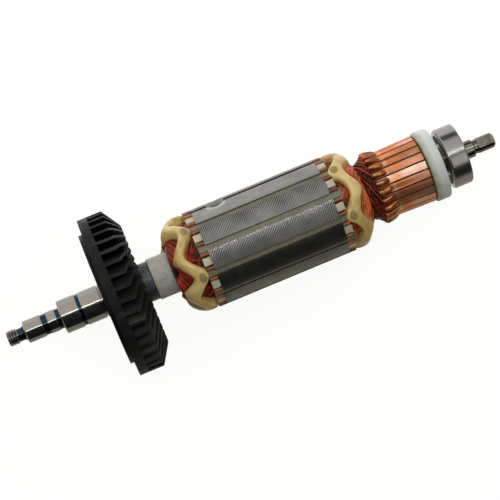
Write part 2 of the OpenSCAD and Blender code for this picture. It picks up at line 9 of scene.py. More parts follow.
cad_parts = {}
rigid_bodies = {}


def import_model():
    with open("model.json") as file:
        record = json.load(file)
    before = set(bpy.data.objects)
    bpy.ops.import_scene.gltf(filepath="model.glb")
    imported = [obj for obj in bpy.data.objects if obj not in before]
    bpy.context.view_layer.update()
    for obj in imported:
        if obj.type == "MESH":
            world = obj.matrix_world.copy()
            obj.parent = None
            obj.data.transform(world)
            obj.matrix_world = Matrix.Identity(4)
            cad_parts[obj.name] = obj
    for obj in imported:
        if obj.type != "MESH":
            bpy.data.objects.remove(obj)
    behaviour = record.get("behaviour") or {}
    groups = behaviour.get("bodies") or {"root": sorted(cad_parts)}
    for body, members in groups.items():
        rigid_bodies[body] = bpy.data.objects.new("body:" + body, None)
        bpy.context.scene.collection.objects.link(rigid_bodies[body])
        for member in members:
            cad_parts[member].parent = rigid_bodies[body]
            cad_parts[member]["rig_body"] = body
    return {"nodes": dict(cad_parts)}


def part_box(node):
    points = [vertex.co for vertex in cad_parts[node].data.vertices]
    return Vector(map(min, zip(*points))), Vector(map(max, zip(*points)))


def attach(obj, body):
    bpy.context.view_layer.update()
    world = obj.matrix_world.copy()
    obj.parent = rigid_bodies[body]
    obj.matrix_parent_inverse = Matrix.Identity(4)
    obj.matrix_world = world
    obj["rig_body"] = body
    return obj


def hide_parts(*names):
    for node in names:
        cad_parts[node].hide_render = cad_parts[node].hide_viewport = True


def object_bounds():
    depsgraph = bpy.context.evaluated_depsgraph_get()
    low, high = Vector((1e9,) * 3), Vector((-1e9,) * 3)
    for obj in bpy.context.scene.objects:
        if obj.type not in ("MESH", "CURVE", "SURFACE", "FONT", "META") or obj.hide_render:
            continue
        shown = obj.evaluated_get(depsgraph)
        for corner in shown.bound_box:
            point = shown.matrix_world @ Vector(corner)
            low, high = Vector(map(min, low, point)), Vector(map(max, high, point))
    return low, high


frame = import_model()
nodes = frame["nodes"]
cadLow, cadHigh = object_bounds()
scene = bpy.context.scene
scene.view_settings.view_transform = "Standard"
mm = 0.001
print("frame loaded:", len(nodes), "nodes")

# What several pieces share, in mm and degrees
coreRadius = 17.55
slotCount = 12
slotPhase = -10
barCount = 24
hookPhase = 11.1
seam = 0.002 * mm       # corners of a CAD mesh closer than this are one

# Camera, floor and light

viewpoint = {
    "position": (24.6 * mm, -3.3 * mm, 646 * mm),
    "target": (66.3 * mm, -3.3 * mm, 0),
    "roll": 22.45,      # degrees between the shaft and the level of the view
    "lens": 133.2,
    "sensor": 36,
    "nearest": 10 * mm,
}

studio = {
    "floorDrop": 1 * mm,          # below the rim of the fan
    "floorSize": 6,               # m
    "floorColour": (0.13, 0.13, 0.128),
    "floorPatch": (0.11, 0.11, 0.108),
    "floorBlotch": (3, 1.5),
    "floorGlow": 0.93,
    "fullGlow": (1, 1, 0.99),
    "dimGlow": (0.37, 0.355, 0.265),
    "dimFrom": -0.035,            # m along Y: dim up to the first, bright from the second
    "dimTo": 0.005,
    "roomColour": (0.016, 0.019, 0.024, 1),
    "panels": {
        # x from and to in m, degrees from the zenith towards +Y from and to, distance in m, glow, colour
        "drivePanel": (-1.3, 0.12, 5, 93, 0.9, 0.95, (1, 0.955, 0.92)),
        "corePanel": (0.12, 1.5, 9, 66, 0.9, 0.8, (1, 0.975, 0.96)),
        "lowPanel": (0.08, 0.25, -42, -5, 0.95, 0.62, (1, 0.98, 0.9)),
        "tailPanel": (0.25, 0.9, -40, -4, 0.93, 0.95, (1, 0.97, 0.9)),
    },
    "strip": {"from": (-0.75, 0.02, 0.95), "to": (0.95, 0.3, 0.95), "width": 0.05, "glow": 7.5,
              "colour": (1, 0.99, 0.97)},
}


def makeCamera():
    data = bpy.data.cameras.new("camera")
    data.lens = viewpoint["lens"]
    data.sensor_width = viewpoint["sensor"]
    data.clip_start = viewpoint["nearest"]
    camera = bpy.data.objects.new("camera", data)
    scene.collection.objects.link(camera)
    position, target = Vector(viewpoint["position"]), Vector(viewpoint["target"])
    back = (position - target).normalized()
    roll = math.radians(viewpoint["roll"])
    right = Vector((math.cos(roll), -math.sin(roll), 0))
    up = back.cross(right).normalized()
    right = up.cross(back)
    camera.matrix_world = Matrix.Translation(position) @ Matrix((right, up, back)).transposed().to_4x4()
    scene.camera = camera


def areaLight(name, corners, glow, colour):
    # Rectangle from three corners, facing the shaft; glow is the brightness of its face
    first, along, across = (Vector(corner) for corner in corners)
    long, wide = along - first, across - first
    data = bpy.data.lights.new(name, "AREA")
    data.shape = "RECTANGLE"
    data.size, data.size_y = long.length, wide.length
    data.energy = glow * math.pi * data.size * data.size_y
    data.color = colour
    light = bpy.data.objects.new(name, data)
    scene.collection.objects.link(light)
    middle = first + long / 2 + wide / 2
    sideways, upward = long.normalized(), wide.normalized()
    facing = sideways.cross(upward)
    if facing.dot(middle) < 0:
        upward, facing = -upward, -facing
    turned = Matrix((sideways, upward, facing)).transposed().to_4x4()
    light.matrix_world = Matrix.Translation(middle) @ turned


def fromZenith(degrees, distance):
    angle = math.radians(degrees)
    return distance * math.sin(angle), distance * math.cos(angle)


def makeStudio():
    world = bpy.data.worlds.new("room")
    scene.world = world
    world.use_nodes = True
    world.node_tree.nodes["Background"].inputs["Color"].default_value = studio["roomColour"]
    for name, (start, end, low, high, distance, glow, colour) in studio["panels"].items():
        near, far = fromZenith(low, distance), fromZenith(high, distance)
        areaLight(name, ((start, *near), (end, *near), (start, *far)), glow, colour)
    strip = studio["strip"]
    start, end = Vector(strip["from"]), Vector(strip["to"])
    across = start + Vector((0, strip["width"], 0))
    areaLight("strip", (start, end, across), strip["glow"], strip["colour"])


makeCamera()
makeStudio()
print("camera and lights ready")

# Node helpers


def feed(tree, socket, value):
    if isinstance(value, bpy.types.NodeSocket):
        tree.links.new(value, socket)
    else:
        socket.default_value = value


def addNode(tree, kind, inputs=None, **settings):
    made = tree.nodes.new(kind)
    for key, value in settings.items():
        setattr(made, key, value)
    for key, value in (inputs or {}).items():
        feed(tree, made.inputs[key], value)
    return made


def mathNode(tree, operation, *values, clamp=False):
    made = addNode(tree, "ShaderNodeMath", dict(enumerate(values)), operation=operation, use_clamp=clamp)
    return made.outputs[0]


def times(tree, first, second, clamp=False):
    return mathNode(tree, "MULTIPLY", first, second, clamp=clamp)


def apart(tree, first, second):
    return mathNode(tree, "ABSOLUTE", mathNode(tree, "SUBTRACT", first, second))


def mapped(tree, value, low, high, start=0, end=1, **settings):
    # Turns low to high into start to end, and holds what lies beyond
    inputs = {0: value, 1: low, 2: high, 3: start, 4: end}
    return addNode(tree, "ShaderNodeMapRange", inputs, **settings).outputs[0]


def mixColour(tree, factor, first, second):
    made = addNode(tree, "ShaderNodeMix", {0: factor}, data_type="RGBA")
    for index, value in ((6, first), (7, second)):
        plain = isinstance(value, tuple)
        feed(tree, made.inputs[index], (*value, 1) if plain else value)
    return made.outputs[2]


def stain(tree, colour, tone, mask, strength=None):
    # Lays a tone over the colour where the mask is bright
    factor = mask if strength is None else times(tree, mask, strength)
    return mixColour(tree, factor, colour, tone)


def cloudNode(tree, vector, scale, detail, roughness=0.5):
    inputs = {"Vector": vector, "Scale": scale, "Detail": detail, "Roughness": roughness}
    return addNode(tree, "ShaderNodeTexNoise", inputs).outputs[0]


def bandMask(tree, value, low, high, soft):
    rise = mapped(tree, value, low - soft, low + soft, interpolation_type="SMOOTHSTEP")
    fall = mapped(tree, value, high - soft, high + soft, 1, 0, interpolation_type="SMOOTHSTEP")
    return times(tree, rise, fall)


def ownTone(tree, index):
    # A value between 0 and 1 that stays with the tooth or bar
    return addNode(tree, "ShaderNodeTexWhiteNoise", {"W": index}, noise_dimensions="1D").outputs["Value"]


def isNumber(tree, index, number, within=0.1):
    return mathNode(tree, "COMPARE", index, number, within)


# Sockets that are not plain numbers
socketKinds = {"Vector": "NodeSocketVector", "Geometry": "NodeSocketGeometry", "Finish": "NodeSocketMaterial",
               "Copies": "NodeSocketInt", "Seed": "NodeSocketInt", "Sides": "NodeSocketInt"}


def nodeGroup(name, kind, inputs, outputs):
    tree = bpy.data.node_groups.new(name, kind)
    for label, value in inputs.items():
        socketKind = socketKinds.get(label, "NodeSocketFloat")
        socket = tree.interface.new_socket(label, in_out="INPUT", socket_type=socketKind)
        if value is not None:
            socket.default_value = value
    for label in outputs:
        socketKind = socketKinds.get(label, "NodeSocketFloat")
        tree.interface.new_socket(label, in_out="OUTPUT", socket_type=socketKind)
    return tree, tree.nodes.new("NodeGroupInput").outputs, tree.nodes.new("NodeGroupOutput").inputs


def useGroup(tree, group, inputs):
    return addNode(tree, "ShaderNodeGroup", inputs, node_tree=group).outputs


# Effects that several finishes share


def buildBlotches():
    inputs = {"Vector": None, "Scale": 200, "Contrast": 2, "Level": 0.5, "Detail": 4}
    tree, given, out = nodeGroup("blotches", "ShaderNodeTree", inputs, ["Mask"])
    cloud = cloudNode(tree, given["Vector"], given["Scale"], given["Detail"], roughness=0.6)
    spread = times(tree, mathNode(tree, "SUBTRACT", cloud, 0.5), given["Contrast"])
    tree.links.new(mathNode(tree, "ADD", spread, given["Level"], clamp=True), out["Mask"])
    return tree


def buildRingMarks():
    # Lines left round the shaft by a tool; slant makes them a screw
    inputs = {"Vector": None, "Pitch": 0.5 * mm, "Slant": 0, "Wobble": 0.2}
    tree, given, out = nodeGroup("ringMarks", "ShaderNodeTree", inputs, ["Height"])
    place = addNode(tree, "ShaderNodeSeparateXYZ", {0: given["Vector"]}).outputs
    turn = mathNode(tree, "DIVIDE", mathNode(tree, "ARCTAN2", place[1], place[2]), 2 * math.pi)
    cloud = cloudNode(tree, given["Vector"], scale=900, detail=2)
    lines = mathNode(tree, "DIVIDE", place[0], given["Pitch"])
    wave = mathNode(tree, "ADD", lines, times(tree, turn, given["Slant"]))
    wave = mathNode(tree, "ADD", wave, times(tree, cloud, given["Wobble"]))
    height = mathNode(tree, "SINE", times(tree, wave, 2 * math.pi))
    tree.links.new(mathNode(tree, "MULTIPLY_ADD", height, 0.5, 0.5), out["Height"])
    return tree


def buildRoundShaft():
    # Where a point lies about the shaft, counted in sectors from the phase
    inputs = {"Vector": None, "Count": 12, "Phase": 0}
    outputs = ["Index", "Within", "Turn", "Radius", "Along"]
    tree, given, out = nodeGroup("roundShaft", "ShaderNodeTree", inputs, outputs)
    place = addNode(tree, "ShaderNodeSeparateXYZ", {0: given["Vector"]}).outputs
    sideways = times(tree, place[1], -1)
    turn = mathNode(tree, "DIVIDE", mathNode(tree, "ARCTAN2", sideways, place[2]), 2 * math.pi)
    offset = mathNode(tree, "DIVIDE", given["Phase"], 360)
    counted = times(tree, mathNode(tree, "SUBTRACT", turn, offset), given["Count"])
    counted = mathNode(tree, "WRAP", counted, given["Count"], 0)
    squares = [mathNode(tree, "POWER", place[axis], 2) for axis in (1, 2)]
    tree.links.new(mathNode(tree, "FLOOR", counted), out["Index"])
    tree.links.new(mathNode(tree, "FRACT", counted), out["Within"])
    tree.links.new(turn, out["Turn"])
    tree.links.new(mathNode(tree, "SQRT", mathNode(tree, "ADD", *squares)), out["Radius"])
    tree.links.new(place[0], out["Along"])
    return tree


def buildWornAndLitEdges():
    # Lighter edges and crests: wear and dust, partly painted highlight
    inputs = {"Vector": None, "Start": 0.52, "End": 0.6, "Break": 0.4}
    tree, given, out = nodeGroup("wornAndLitEdges", "ShaderNodeTree", inputs, ["Mask"])
    crest = addNode(tree, "ShaderNodeNewGeometry").outputs["Pointiness"]
    cloud = cloudNode(tree, given["Vector"], scale=700, detail=3)
    edge = mapped(tree, crest, given["Start"], given["End"])
    gaps = mathNode(tree, "SUBTRACT", 1, times(tree, cloud, given["Break"]))
    tree.links.new(times(tree, edge, gaps, clamp=True), out["Mask"])
    return tree


patchRim = (0.7, 1.2)       # where a round patch starts to fade, and where it ends


def buildRoundPatch():
    # Soft rounded field on the outside of the part, for the balancing scoop and the trimmed beads
    inputs = {"Along": 0, "Middle": 0, "Long": 3 * mm, "Across": 0, "Centre": 0, "Wide": 0.05,
              "Squareness": 2}
    tree, given, out = nodeGroup("roundPatch", "ShaderNodeTree", inputs, ["Mask"])
    parts = []
    for value, middle, size in (("Along", "Middle", "Long"), ("Across", "Centre", "Wide")):
        away = mathNode(tree, "DIVIDE", apart(tree, given[value], given[middle]), given[size])
        parts.append(mathNode(tree, "POWER", away, given["Squareness"]))
    total = mathNode(tree, "ADD", *parts)
    tree.links.new(mapped(tree, total, *patchRim, 1, 0, interpolation_type="SMOOTHSTEP"), out["Mask"])
    return tree


blotches = buildBlotches()
ringMarks = buildRingMarks()
roundShaft = buildRoundShaft()
wornAndLitEdges = buildWornAndLitEdges()
roundPatch = buildRoundPatch()


def newFinish(name, metallic=0, roughness=0.5, sockets=None):
    made = bpy.data.materials.new(name)
    made.use_nodes = True
    tree = made.node_tree
    shader = tree.nodes["Principled BSDF"]
    values = {"Roughness": roughness, "Metallic": metallic, **(sockets or {})}
    for key, value in values.items():
        shader.inputs[key].default_value = value
    place = tree.nodes.new("ShaderNodeTexCoord").outputs["Object"]
    return made, tree, shader, place


def blotch(tree, place, scale, contrast, level=0.5, detail=4):
    inputs = {"Vector": place, "Scale": scale, "Contrast": contrast, "Level": level, "Detail": detail}
    return useGroup(tree, blotches, inputs)["Mask"]


def toolMarks(tree, place, pitch, wobble, slant=0):
    inputs = {"Vector": place, "Pitch": pitch * mm, "Slant": slant, "Wobble": wobble}
    return useGroup(tree, ringMarks, inputs)["Height"]


def aboutShaft(tree, place, count=slotCount, phase=0):
    return useGroup(tree, roundShaft, {"Vector": place, "Count": count, "Phase": phase})


def wornAndLitMask(tree, place, start, end, broken):
    return useGroup(tree, wornAndLitEdges, {"Vector": place, "Start": start, "End": end, "Break": broken})["Mask"]


def bump(tree, shader, height, depth, strength):
    made = addNode(tree, "ShaderNodeBump", {"Height": height, "Distance": depth * mm, "Strength": strength})
    tree.links.new(made.outputs[0], shader.inputs["Normal"])


def paint(tree, shader, colour):
    tree.links.new(colour, shader.inputs["Base Color"])


def roughen(tree, shader, mask, smooth, rough):
    tree.links.new(mapped(tree, mask, 0, 1, smooth, rough), shader.inputs["Roughness"])


def gloss(tree, shader, place, look):
    roughen(tree, shader, blotch(tree, place, *look["gloss"]), look["smooth"], look["rough"])


print("shared effects ready")

# Mesh helpers


def addObject(name, mesh):
    made = bpy.data.objects.new(name, mesh)
    scene.collection.objects.link(made)
    return made


softening = {"segments": 2, "corner": 35, "flat": 1, "crease": 32}     # angles in degrees
fullness = 0.8          # under 1 fills the corners of a round section


def smoothAll(mesh):
    mesh.polygons.foreach_set("use_smooth", [True] * len(mesh.polygons))


def shadeByAngle(mesh, degrees=softening["crease"]):
    smoothAll(mesh)
    mesh.set_sharp_from_angle(angle=math.radians(degrees))


def bakeModifiers(piece):
    graph = bpy.context.evaluated_depsgraph_get()
    mesh = bpy.data.meshes.new_from_object(piece.evaluated_get(graph))
    if piece.type == "MESH":
        piece.modifiers.clear()
        piece.data = mesh
        return piece
    made = addObject(piece.name + "Mesh", mesh)
    name = piece.name
    bpy.data.objects.remove(piece)
    made.name = name
    return made


def finishPiece(piece, node, finish=None):
    if finish:
        piece.data.materials.clear()
        piece.data.materials.append(finish)
    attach(piece, nodes[node]["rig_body"])
    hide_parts(node)
    return piece


def openMesh(mesh, weld=False):
    shape = bmesh.new()
    shape.from_mesh(mesh)
    if weld:
        bmesh.ops.remove_doubles(shape, verts=shape.verts, dist=seam)
    return shape


def shutMesh(shape, mesh):
    shape.to_mesh(mesh)
    shape.free()


def softened(node, name, finish, width):
    # A copy of a CAD node with its triangles joined and its corners broken
    mesh = nodes[node].data.copy()
    shape = openMesh(mesh, weld=True)
    flat = math.radians(softening["flat"])
    bmesh.ops.dissolve_limit(shape, angle_limit=flat, verts=shape.verts, edges=shape.edges)
    shutMesh(shape, mesh)
    piece = addObject(name, mesh)
    bevel = piece.modifiers.new("corners", "BEVEL")
    bevel.width = width * mm
    bevel.segments = softening["segments"]
    bevel.limit_method = "ANGLE"
    bevel.angle_limit = math.radians(softening["corner"])
    bakeModifiers(piece)
    shadeByAngle(piece.data)
    even = piece.modifiers.new("even", "WEIGHTED_NORMAL")
    even.keep_sharp = True
    bakeModifiers(piece)
    return finishPiece(piece, node, finish)


def drawnIn(mesh, end, radius):
    # Points before a station, in m, that lie outside a radius in mm come in to it
    for vertex in mesh.vertices:
        place = vertex.co
        reach = math.hypot(place.y, place.z)
        if place.x < end and reach > radius * mm:
            place.y, place.z = (value * radius * mm / reach for value in (place.y, place.z))


def polar(radius, turn, x):
    angle = math.radians(turn)
    return Vector((x, -radius * math.sin(angle), radius * math.cos(angle)))


def squared(value):
    return math.copysign(abs(value) ** fullness, value)


def gridMesh(name, rows, closed=False):
    # Skin over rows of points; every row is a closed ring
    mesh = bpy.data.meshes.new(name)
    count = len(rows[0])
    points = [point for row in rows for point in row]
    faces = []
    last = len(rows) if closed else len(rows) - 1
    for i in range(last):
        near, far = i * count, ((i + 1) % len(rows)) * count
        for j in range(count):
            k = (j + 1) % count
            faces.append((near + j, near + k, far + k, far + j))
    if not closed:
        faces.append(tuple(range(count)))
        faces.append(tuple(range(len(points) - count, len(points))))
    mesh.from_pydata(points, [], faces)
    shape = openMesh(mesh)
    bmesh.ops.recalc_face_normals(shape, faces=shape.faces)
    shutMesh(shape, mesh)
    return mesh


# Geometry node trees


def storeTone(tree, geometry, name, value, domain):
    inputs = {0: geometry, "Name": name, "Value": value}
    kept = addNode(tree, "GeometryNodeStoreNamedAttribute", inputs, data_type="FLOAT", domain=domain)
    return kept.outputs[0]


def chanceNode(tree, inputs):
    return addNode(tree, "FunctionNodeRandomValue", inputs, data_type="FLOAT").outputs[1]


def repeatTail(tree, given, out, geometry):
    # Copies the geometry round the shaft with a little play, and gives each copy a tone of its own
    points = addNode(tree, "GeometryNodePoints", {"Count": given["Copies"]}).outputs[0]
    index = tree.nodes.new("GeometryNodeInputIndex").outputs[0]
    step = mathNode(tree, "DIVIDE", 2 * math.pi, given["Copies"])
    play = chanceNode(tree, {2: -1.0, 3: 1.0, "ID": index, "Seed": given["Seed"]})
    angle = mathNode(tree, "MULTIPLY_ADD", play, given["Play"], times(tree, index, step))
    turn = addNode(tree, "ShaderNodeCombineXYZ", {0: angle}).outputs[0]
    inputs = {"Points": points, "Instance": geometry, "Rotation": turn}
    copies = addNode(tree, "GeometryNodeInstanceOnPoints", inputs).outputs[0]
    toneSeed = mathNode(tree, "ADD", given["Seed"], 7)
    tone = chanceNode(tree, {"ID": index, "Seed": toneSeed})
    toned = storeTone(tree, copies, "copyTone", tone, "INSTANCE")
    solid = addNode(tree, "GeometryNodeRealizeInstances", {0: toned}).outputs[0]
    finished = addNode(tree, "GeometryNodeSetMaterial", {0: solid, "Material": given["Finish"]}).outputs[0]
    tree.links.new(finished, out[0])


repeatInputs = {"Copies": 12, "Play": 0.0, "Seed": 1, "Finish": None}


def buildRepeatTree():
    inputs = {"Geometry": None, **repeatInputs}
    tree, given, out = nodeGroup("repeatRoundShaft", "GeometryNodeTree", inputs, ["Geometry"])
    repeatTail(tree, given, out, given["Geometry"])
    return tree


def buildWireTree():
    # Round wires along the splines of a curve, each with its own tone, repeated round the shaft
    inputs = {"Geometry": None, "Wire Radius": 0.25 * mm, "Sides": 6, **repeatInputs}
    tree, given, out = nodeGroup("wiresRoundShaft", "GeometryNodeTree", inputs, ["Geometry"])
    index = tree.nodes.new("GeometryNodeInputIndex").outputs[0]
    tone = chanceNode(tree, {"ID": index, "Seed": given["Seed"]})
    toned = storeTone(tree, given["Geometry"], "wireTone", tone, "CURVE")
    inputs = {"Resolution": given["Sides"], "Radius": given["Wire Radius"]}
    section = addNode(tree, "GeometryNodeCurvePrimitiveCircle", inputs).outputs[0]
    inputs = {0: toned, "Profile Curve": section, "Fill Caps": True}
    tubes = addNode(tree, "GeometryNodeCurveToMesh", inputs).outputs[0]
    smooth = addNode(tree, "GeometryNodeSetShadeSmooth", {0: tubes}).outputs[0]
    repeatTail(tree, given, out, smooth)
    return tree


repeatTree = buildRepeatTree()
wireTree = buildWireTree()


def growTree(piece, tree, finish, copies, play, seed, wire=0):
    # Play in degrees and wire in mm; a tree without wires has no input for it
    growth = piece.modifiers.new("growth", "NODES")
    growth.node_group = tree
    values = {"Copies": copies, "Play": math.radians(play), "Seed": seed, "Finish": finish,
              "Wire Radius": wire * mm}
    for socket in tree.interface.items_tree:
        if socket.in_out == "INPUT" and socket.name in values:
            growth[socket.identifier] = values[socket.name]
    return bakeModifiers(piece)


def growWires(name, paths, lay, finish, copies, play, seed):
    data = bpy.data.curves.new(name, "CURVE")
    data.dimensions = "3D"
    for path in paths:
        spline = data.splines.new("POLY")
        spline.points.add(len(path) - 1)
        for place, point in zip(spline.points, path):
            place.co = (*point, 1)
    return growTree(addObject(name, data), wireTree, finish, copies, play, seed, lay["wire"])


print("geometry trees ready")

# Finishes. A blotch is given as its scale for each m, its contrast, and where set its level and detail

finishes = {}

scoop = {"middle": 60.9, "long": 3.5, "turn": -66, "wide": 9.5, "squareness": 6, "strength": 0.8,
         "bright": (0.52, 0.51, 0.505), "shade": (0.05, 0.05, 0.045)}


def addScoop(tree, place, colour, tone):
    # Where the balancing cutter ran, in mm along the shaft and in degrees about it
    where = aboutShaft(tree, place)
    inside = useGroup(tree, roundPatch, {
        "Along": where["Along"], "Middle": scoop["middle"] * mm, "Long": scoop["long"] * mm,
        "Across": where["Turn"], "Centre": scoop["turn"] / 360, "Wide": scoop["wide"] / 360,
        "Squareness": scoop["squareness"]})["Mask"]
    return stain(tree, colour, tone, inside, scoop["strength"])


steel = {
    "shaft": {"light": (0.345, 0.328, 0.3), "dull": (0.26, 0.245, 0.21), "smooth": 0.13, "rough": 0.17},
    "bearing": {"light": (0.37, 0.355, 0.335), "dull": (0.3, 0.29, 0.265), "smooth": 0.22, "rough": 0.28},
    "stains": (260, 1.6, 0.4), "gloss": (90, 1.2), "marks": (0.17, 3.0),
    "dark": (0.01, 0.02, 0.028), "blue": (0.035, 0.065, 0.08), "temper": (900, 2.5),
    # Grooves from and to, in mm along the shaft
    "grooves": ((-19.6, -16.9), (-10.2, -8.1), (-4.9, -3.35), (3.35, 4.65)), "grooveEdge": 0.12,
    # Darker lengths, the first rust-coloured: from and to, colour, how much is covered
    "spots": ((11.9, 13.5, (0.25, 0.085, 0.02), 0.35), (148.3, 161.5, (0.17, 0.16, 0.12), 0.75),
              (-23.7, -19.3, (0.17, 0.16, 0.12), 0.75)),
    "spotEdge": 0.5, "spotBlotch": (500, 4),
}


def steelFinish(name, look, grooves=(), spots=()):
    # Ground metal with marks left by the wheel; grooves are left dark
    made, tree, shader, place = newFinish(name, 1)
    colour = stain(tree, look["light"], look["dull"], blotch(tree, place, *steel["stains"]), 0.6)
    along = aboutShaft(tree, place)["Along"]
    for low, high in grooves:
        inside = bandMask(tree, along, low * mm, high * mm, steel["grooveEdge"] * mm)
        patch = mixColour(tree, blotch(tree, place, *steel["temper"]), steel["dark"], steel["blue"])
        colour = stain(tree, colour, patch, inside)
    for low, high, tone, level in spots:
        inside = bandMask(tree, along, low * mm, high * mm, steel["spotEdge"] * mm)
        colour = stain(tree, colour, tone, inside, blotch(tree, place, *steel["spotBlotch"], level))
    paint(tree, shader, colour)
    roughen(tree, shader, blotch(tree, place, *steel["gloss"]), look["smooth"], look["rough"])
    bump(tree, shader, toolMarks(tree, place, *steel["marks"]), 0.001, 0.4)
    return made


plainLooks = {
    # finish: material, colours, blotches for each m, roughness, depth of the grain in mm, metallic, contrast
    "collar": ("collarSteel", ((0.09, 0.1, 0.11), (0.01, 0.011, 0.012), (0.2, 0.215, 0.23)),
               240, 0.38, 0.02, 0.8, 4),
    "sleeve": ("sleeveFibre", ((0.6, 0.57, 0.5), (0.38, 0.35, 0.3), (0.7, 0.68, 0.62)),
               200, 0.5, 0.02, 0, 3),
    "insulator": ("insulatorWhite", ((0.69, 0.66, 0.5), (0.42, 0.37, 0.23), (0.8, 0.76, 0.6)),
                  210, 0.48, 0.05, 0, 3.2),
    "paper": ("linerPaper", ((0.46, 0.16, 0.055), (0.22, 0.07, 0.03)), 300, 0.6, 0.01, 0, 2.5),
    "wedge": ("wedgeFibre", ((0.23, 0.215, 0.14), (0.13, 0.12, 0.075), (0.3, 0.28, 0.2)),
              180, 0.45, 0.03, 0, 3),
    "hub": ("hubMoulding", ((0.09, 0.03, 0.018), (0.035, 0.012, 0.008)), 300, 0.4, 0.01, 0, 2.5),
    "cage": ("cageNylon", ((0.16, 0.13, 0.1), (0.1, 0.08, 0.06)), 300, 0.5, 0.01, 0, 2.5),
    "seal": ("sealRubber", ((0.018, 0.018, 0.018), (0.035, 0.033, 0.03)), 400, 0.55, 0.01, 0, 2.5),
    "shadedWire": ("shadedWireFinish", ((0.035, 0.006, 0.004), (0.01, 0.003, 0.002)), 300, 0.4, 0.01, 0, 2.5),
}


def plainFinish(name, colours, scale, roughness, depth, metallic, contrast, scooped):
    # Two or three tones in blotches with a fine grain
    made, tree, shader, place = newFinish(name, metallic, roughness)
    large = blotch(tree, place, scale, contrast)
    small = blotch(tree, place, scale * 6, contrast, 0.5, 2)
    colour = mixColour(tree, large, colours[0], colours[1])
    if len(colours) > 2:
        colour = stain(tree, colour, colours[2], small, 0.5)
    if scooped:
        colour = addScoop(tree, place, colour, scoop["shade"])
    paint(tree, shader, colour)
    bump(tree, shader, small, depth, 0.6)
    return made


fanLook = {
    "body": (0.0062, 0.0063, 0.006), "sheen": (0.0155, 0.016, 0.015), "tones": (120, 2.5),
    "edge": (0.08, 0.082, 0.074), "worn": (0.53, 0.62, 0.9), "wearAndHighlight": 0.7,
    "dust": (0.16, 0.16, 0.15), "specks": 650, "speckSize": 0.1, "dusty": (60, 5, 0.3),
    "shine": 0.12, "gloss": (180, 2), "smooth": 0.32, "rough": 0.6, "grain": (1500, 2, 0.5, 2),
}


def fanFinish():
    look = fanLook
    made, tree, shader, place = newFinish("fanPlastic", sockets={"Specular IOR Level": look["shine"]})
    colour = mixColour(tree, blotch(tree, place, *look["tones"]), look["body"], look["sheen"])
    # Lighter edges: wear and dust, partly painted highlight
    colour = stain(tree, colour, look["edge"], wornAndLitMask(tree, place, *look["worn"]), look["wearAndHighlight"])
    inputs = {"Vector": place, "Scale": look["specks"], "Randomness": 1}
    specks = addNode(tree, "ShaderNodeTexVoronoi", inputs).outputs["Distance"]
    specks = mathNode(tree, "LESS_THAN", specks, look["speckSize"])
    dusty = times(tree, specks, blotch(tree, place, *look["dusty"]))
    paint(tree, shader, stain(tree, colour, look["dust"], dusty, 0.8))
    gloss(tree, shader, place, look)
    bump(tree, shader, blotch(tree, place, *look["grain"]), 0.01, 0.5)
    return made


coreLook = {
    "pale": (0.42, 0.4, 0.385), "grey": (0.215, 0.235, 0.25), "tones": (160, 2.2),
    # Painted shade: the lower part of each tooth is laid darker and olive; one olive tone is also random for
    # each tooth
    "olive": (0.19, 0.18, 0.14), "shadeFrom": 0.45, "shadeTo": 0.9, "lowerShade": 0.45, "oliveTooth": 0.4,
    # Pitch in mm and wobble of the marks, and turns of slant
    "upright": (1.05, 0.35), "slanted": (1.0, 0.3, -100), "uprightDepth": 0.5, "faded": (130, 1.6, 0.75),
    "dark": (0.02, 0.02, 0.017), "shine": (0.75, 0.73, 0.72), "glints": (2600, 9, -0.1, 1), "glintEdge": 0.2,
    # Painted shade for one tooth: its colour and its number
    "toothShade": (0.035, 0.034, 0.026), "shadedTooth": 1,
    # Painted light for one tooth: its colour, its number and its strength
    "litTone": (0.45, 0.42, 0.4), "litTooth": 10, "litStrength": 0.75,
    "slotDepth": 0.35, "gloss": (300, 2.2), "smooth": 0.32, "rough": 0.46,
}


def coreFinish():
    # Stacked sheets turned to size: slanted marks above, upright ones below, a tone for each tooth
    look = coreLook
    made, tree, shader, place = newFinish("coreSteel", 0.9)
    teeth = aboutShaft(tree, place, slotCount, slotPhase)
    colour = mixColour(tree, blotch(tree, place, *look["tones"]), look["pale"], look["grey"])
    # Painted shade on the lower part of each tooth, which also takes the upright marks
    lower = mapped(tree, teeth["Within"], look["shadeFrom"], look["shadeTo"])
    colour = stain(tree, colour, look["olive"], lower, look["lowerShade"])
    colour = stain(tree, colour, look["olive"], ownTone(tree, teeth["Index"]), look["oliveTooth"])
    upright = times(tree, toolMarks(tree, place, *look["upright"]), look["uprightDepth"])
    slanted = toolMarks(tree, place, *look["slanted"])
    marks = addNode(tree, "ShaderNodeMix", {0: lower, 2: slanted, 3: upright}, data_type="FLOAT").outputs[0]
    faded = times(tree, marks, blotch(tree, place, *look["faded"]))
    colour = stain(tree, colour, look["dark"], faded)
    # Glints along the upper edge of the first tooth
    edge = mathNode(tree, "LESS_THAN", teeth["Within"], look["glintEdge"])
    edge = times(tree, mathNode(tree, "LESS_THAN", teeth["Index"], 0.5), edge)
    glints = times(tree, blotch(tree, place, *look["glints"]), times(tree, slanted, edge))
    colour = stain(tree, colour, look["shine"], glints, 0.8)
    # Painted shade inside the slots, below the turned size of the core
    inner = mathNode(tree, "LESS_THAN", teeth["Radius"], (coreRadius - look["slotDepth"]) * mm)
    colour = stain(tree, colour, look["dark"], inner, 0.85)
    # Painted shade: one tooth is laid very dark, as where it mirrors the dark room
    toothShade = isNumber(tree, teeth["Index"], look["shadedTooth"])
    colour = stain(tree, colour, look["toothShade"], toothShade, 0.72)
    # Painted light: one tooth is laid lighter, less where the marks are
    litTone = isNumber(tree, teeth["Index"], look["litTooth"])
    between = mathNode(tree, "SUBTRACT", look["litStrength"], times(tree, faded, look["litStrength"]), clamp=True)
    colour = stain(tree, colour, look["litTone"], litTone, between)
    paint(tree, shader, addScoop(tree, place, colour, scoop["bright"]))
    gloss(tree, shader, place, look)
    bump(tree, shader, faded, 0.03, 0.8)
    return made


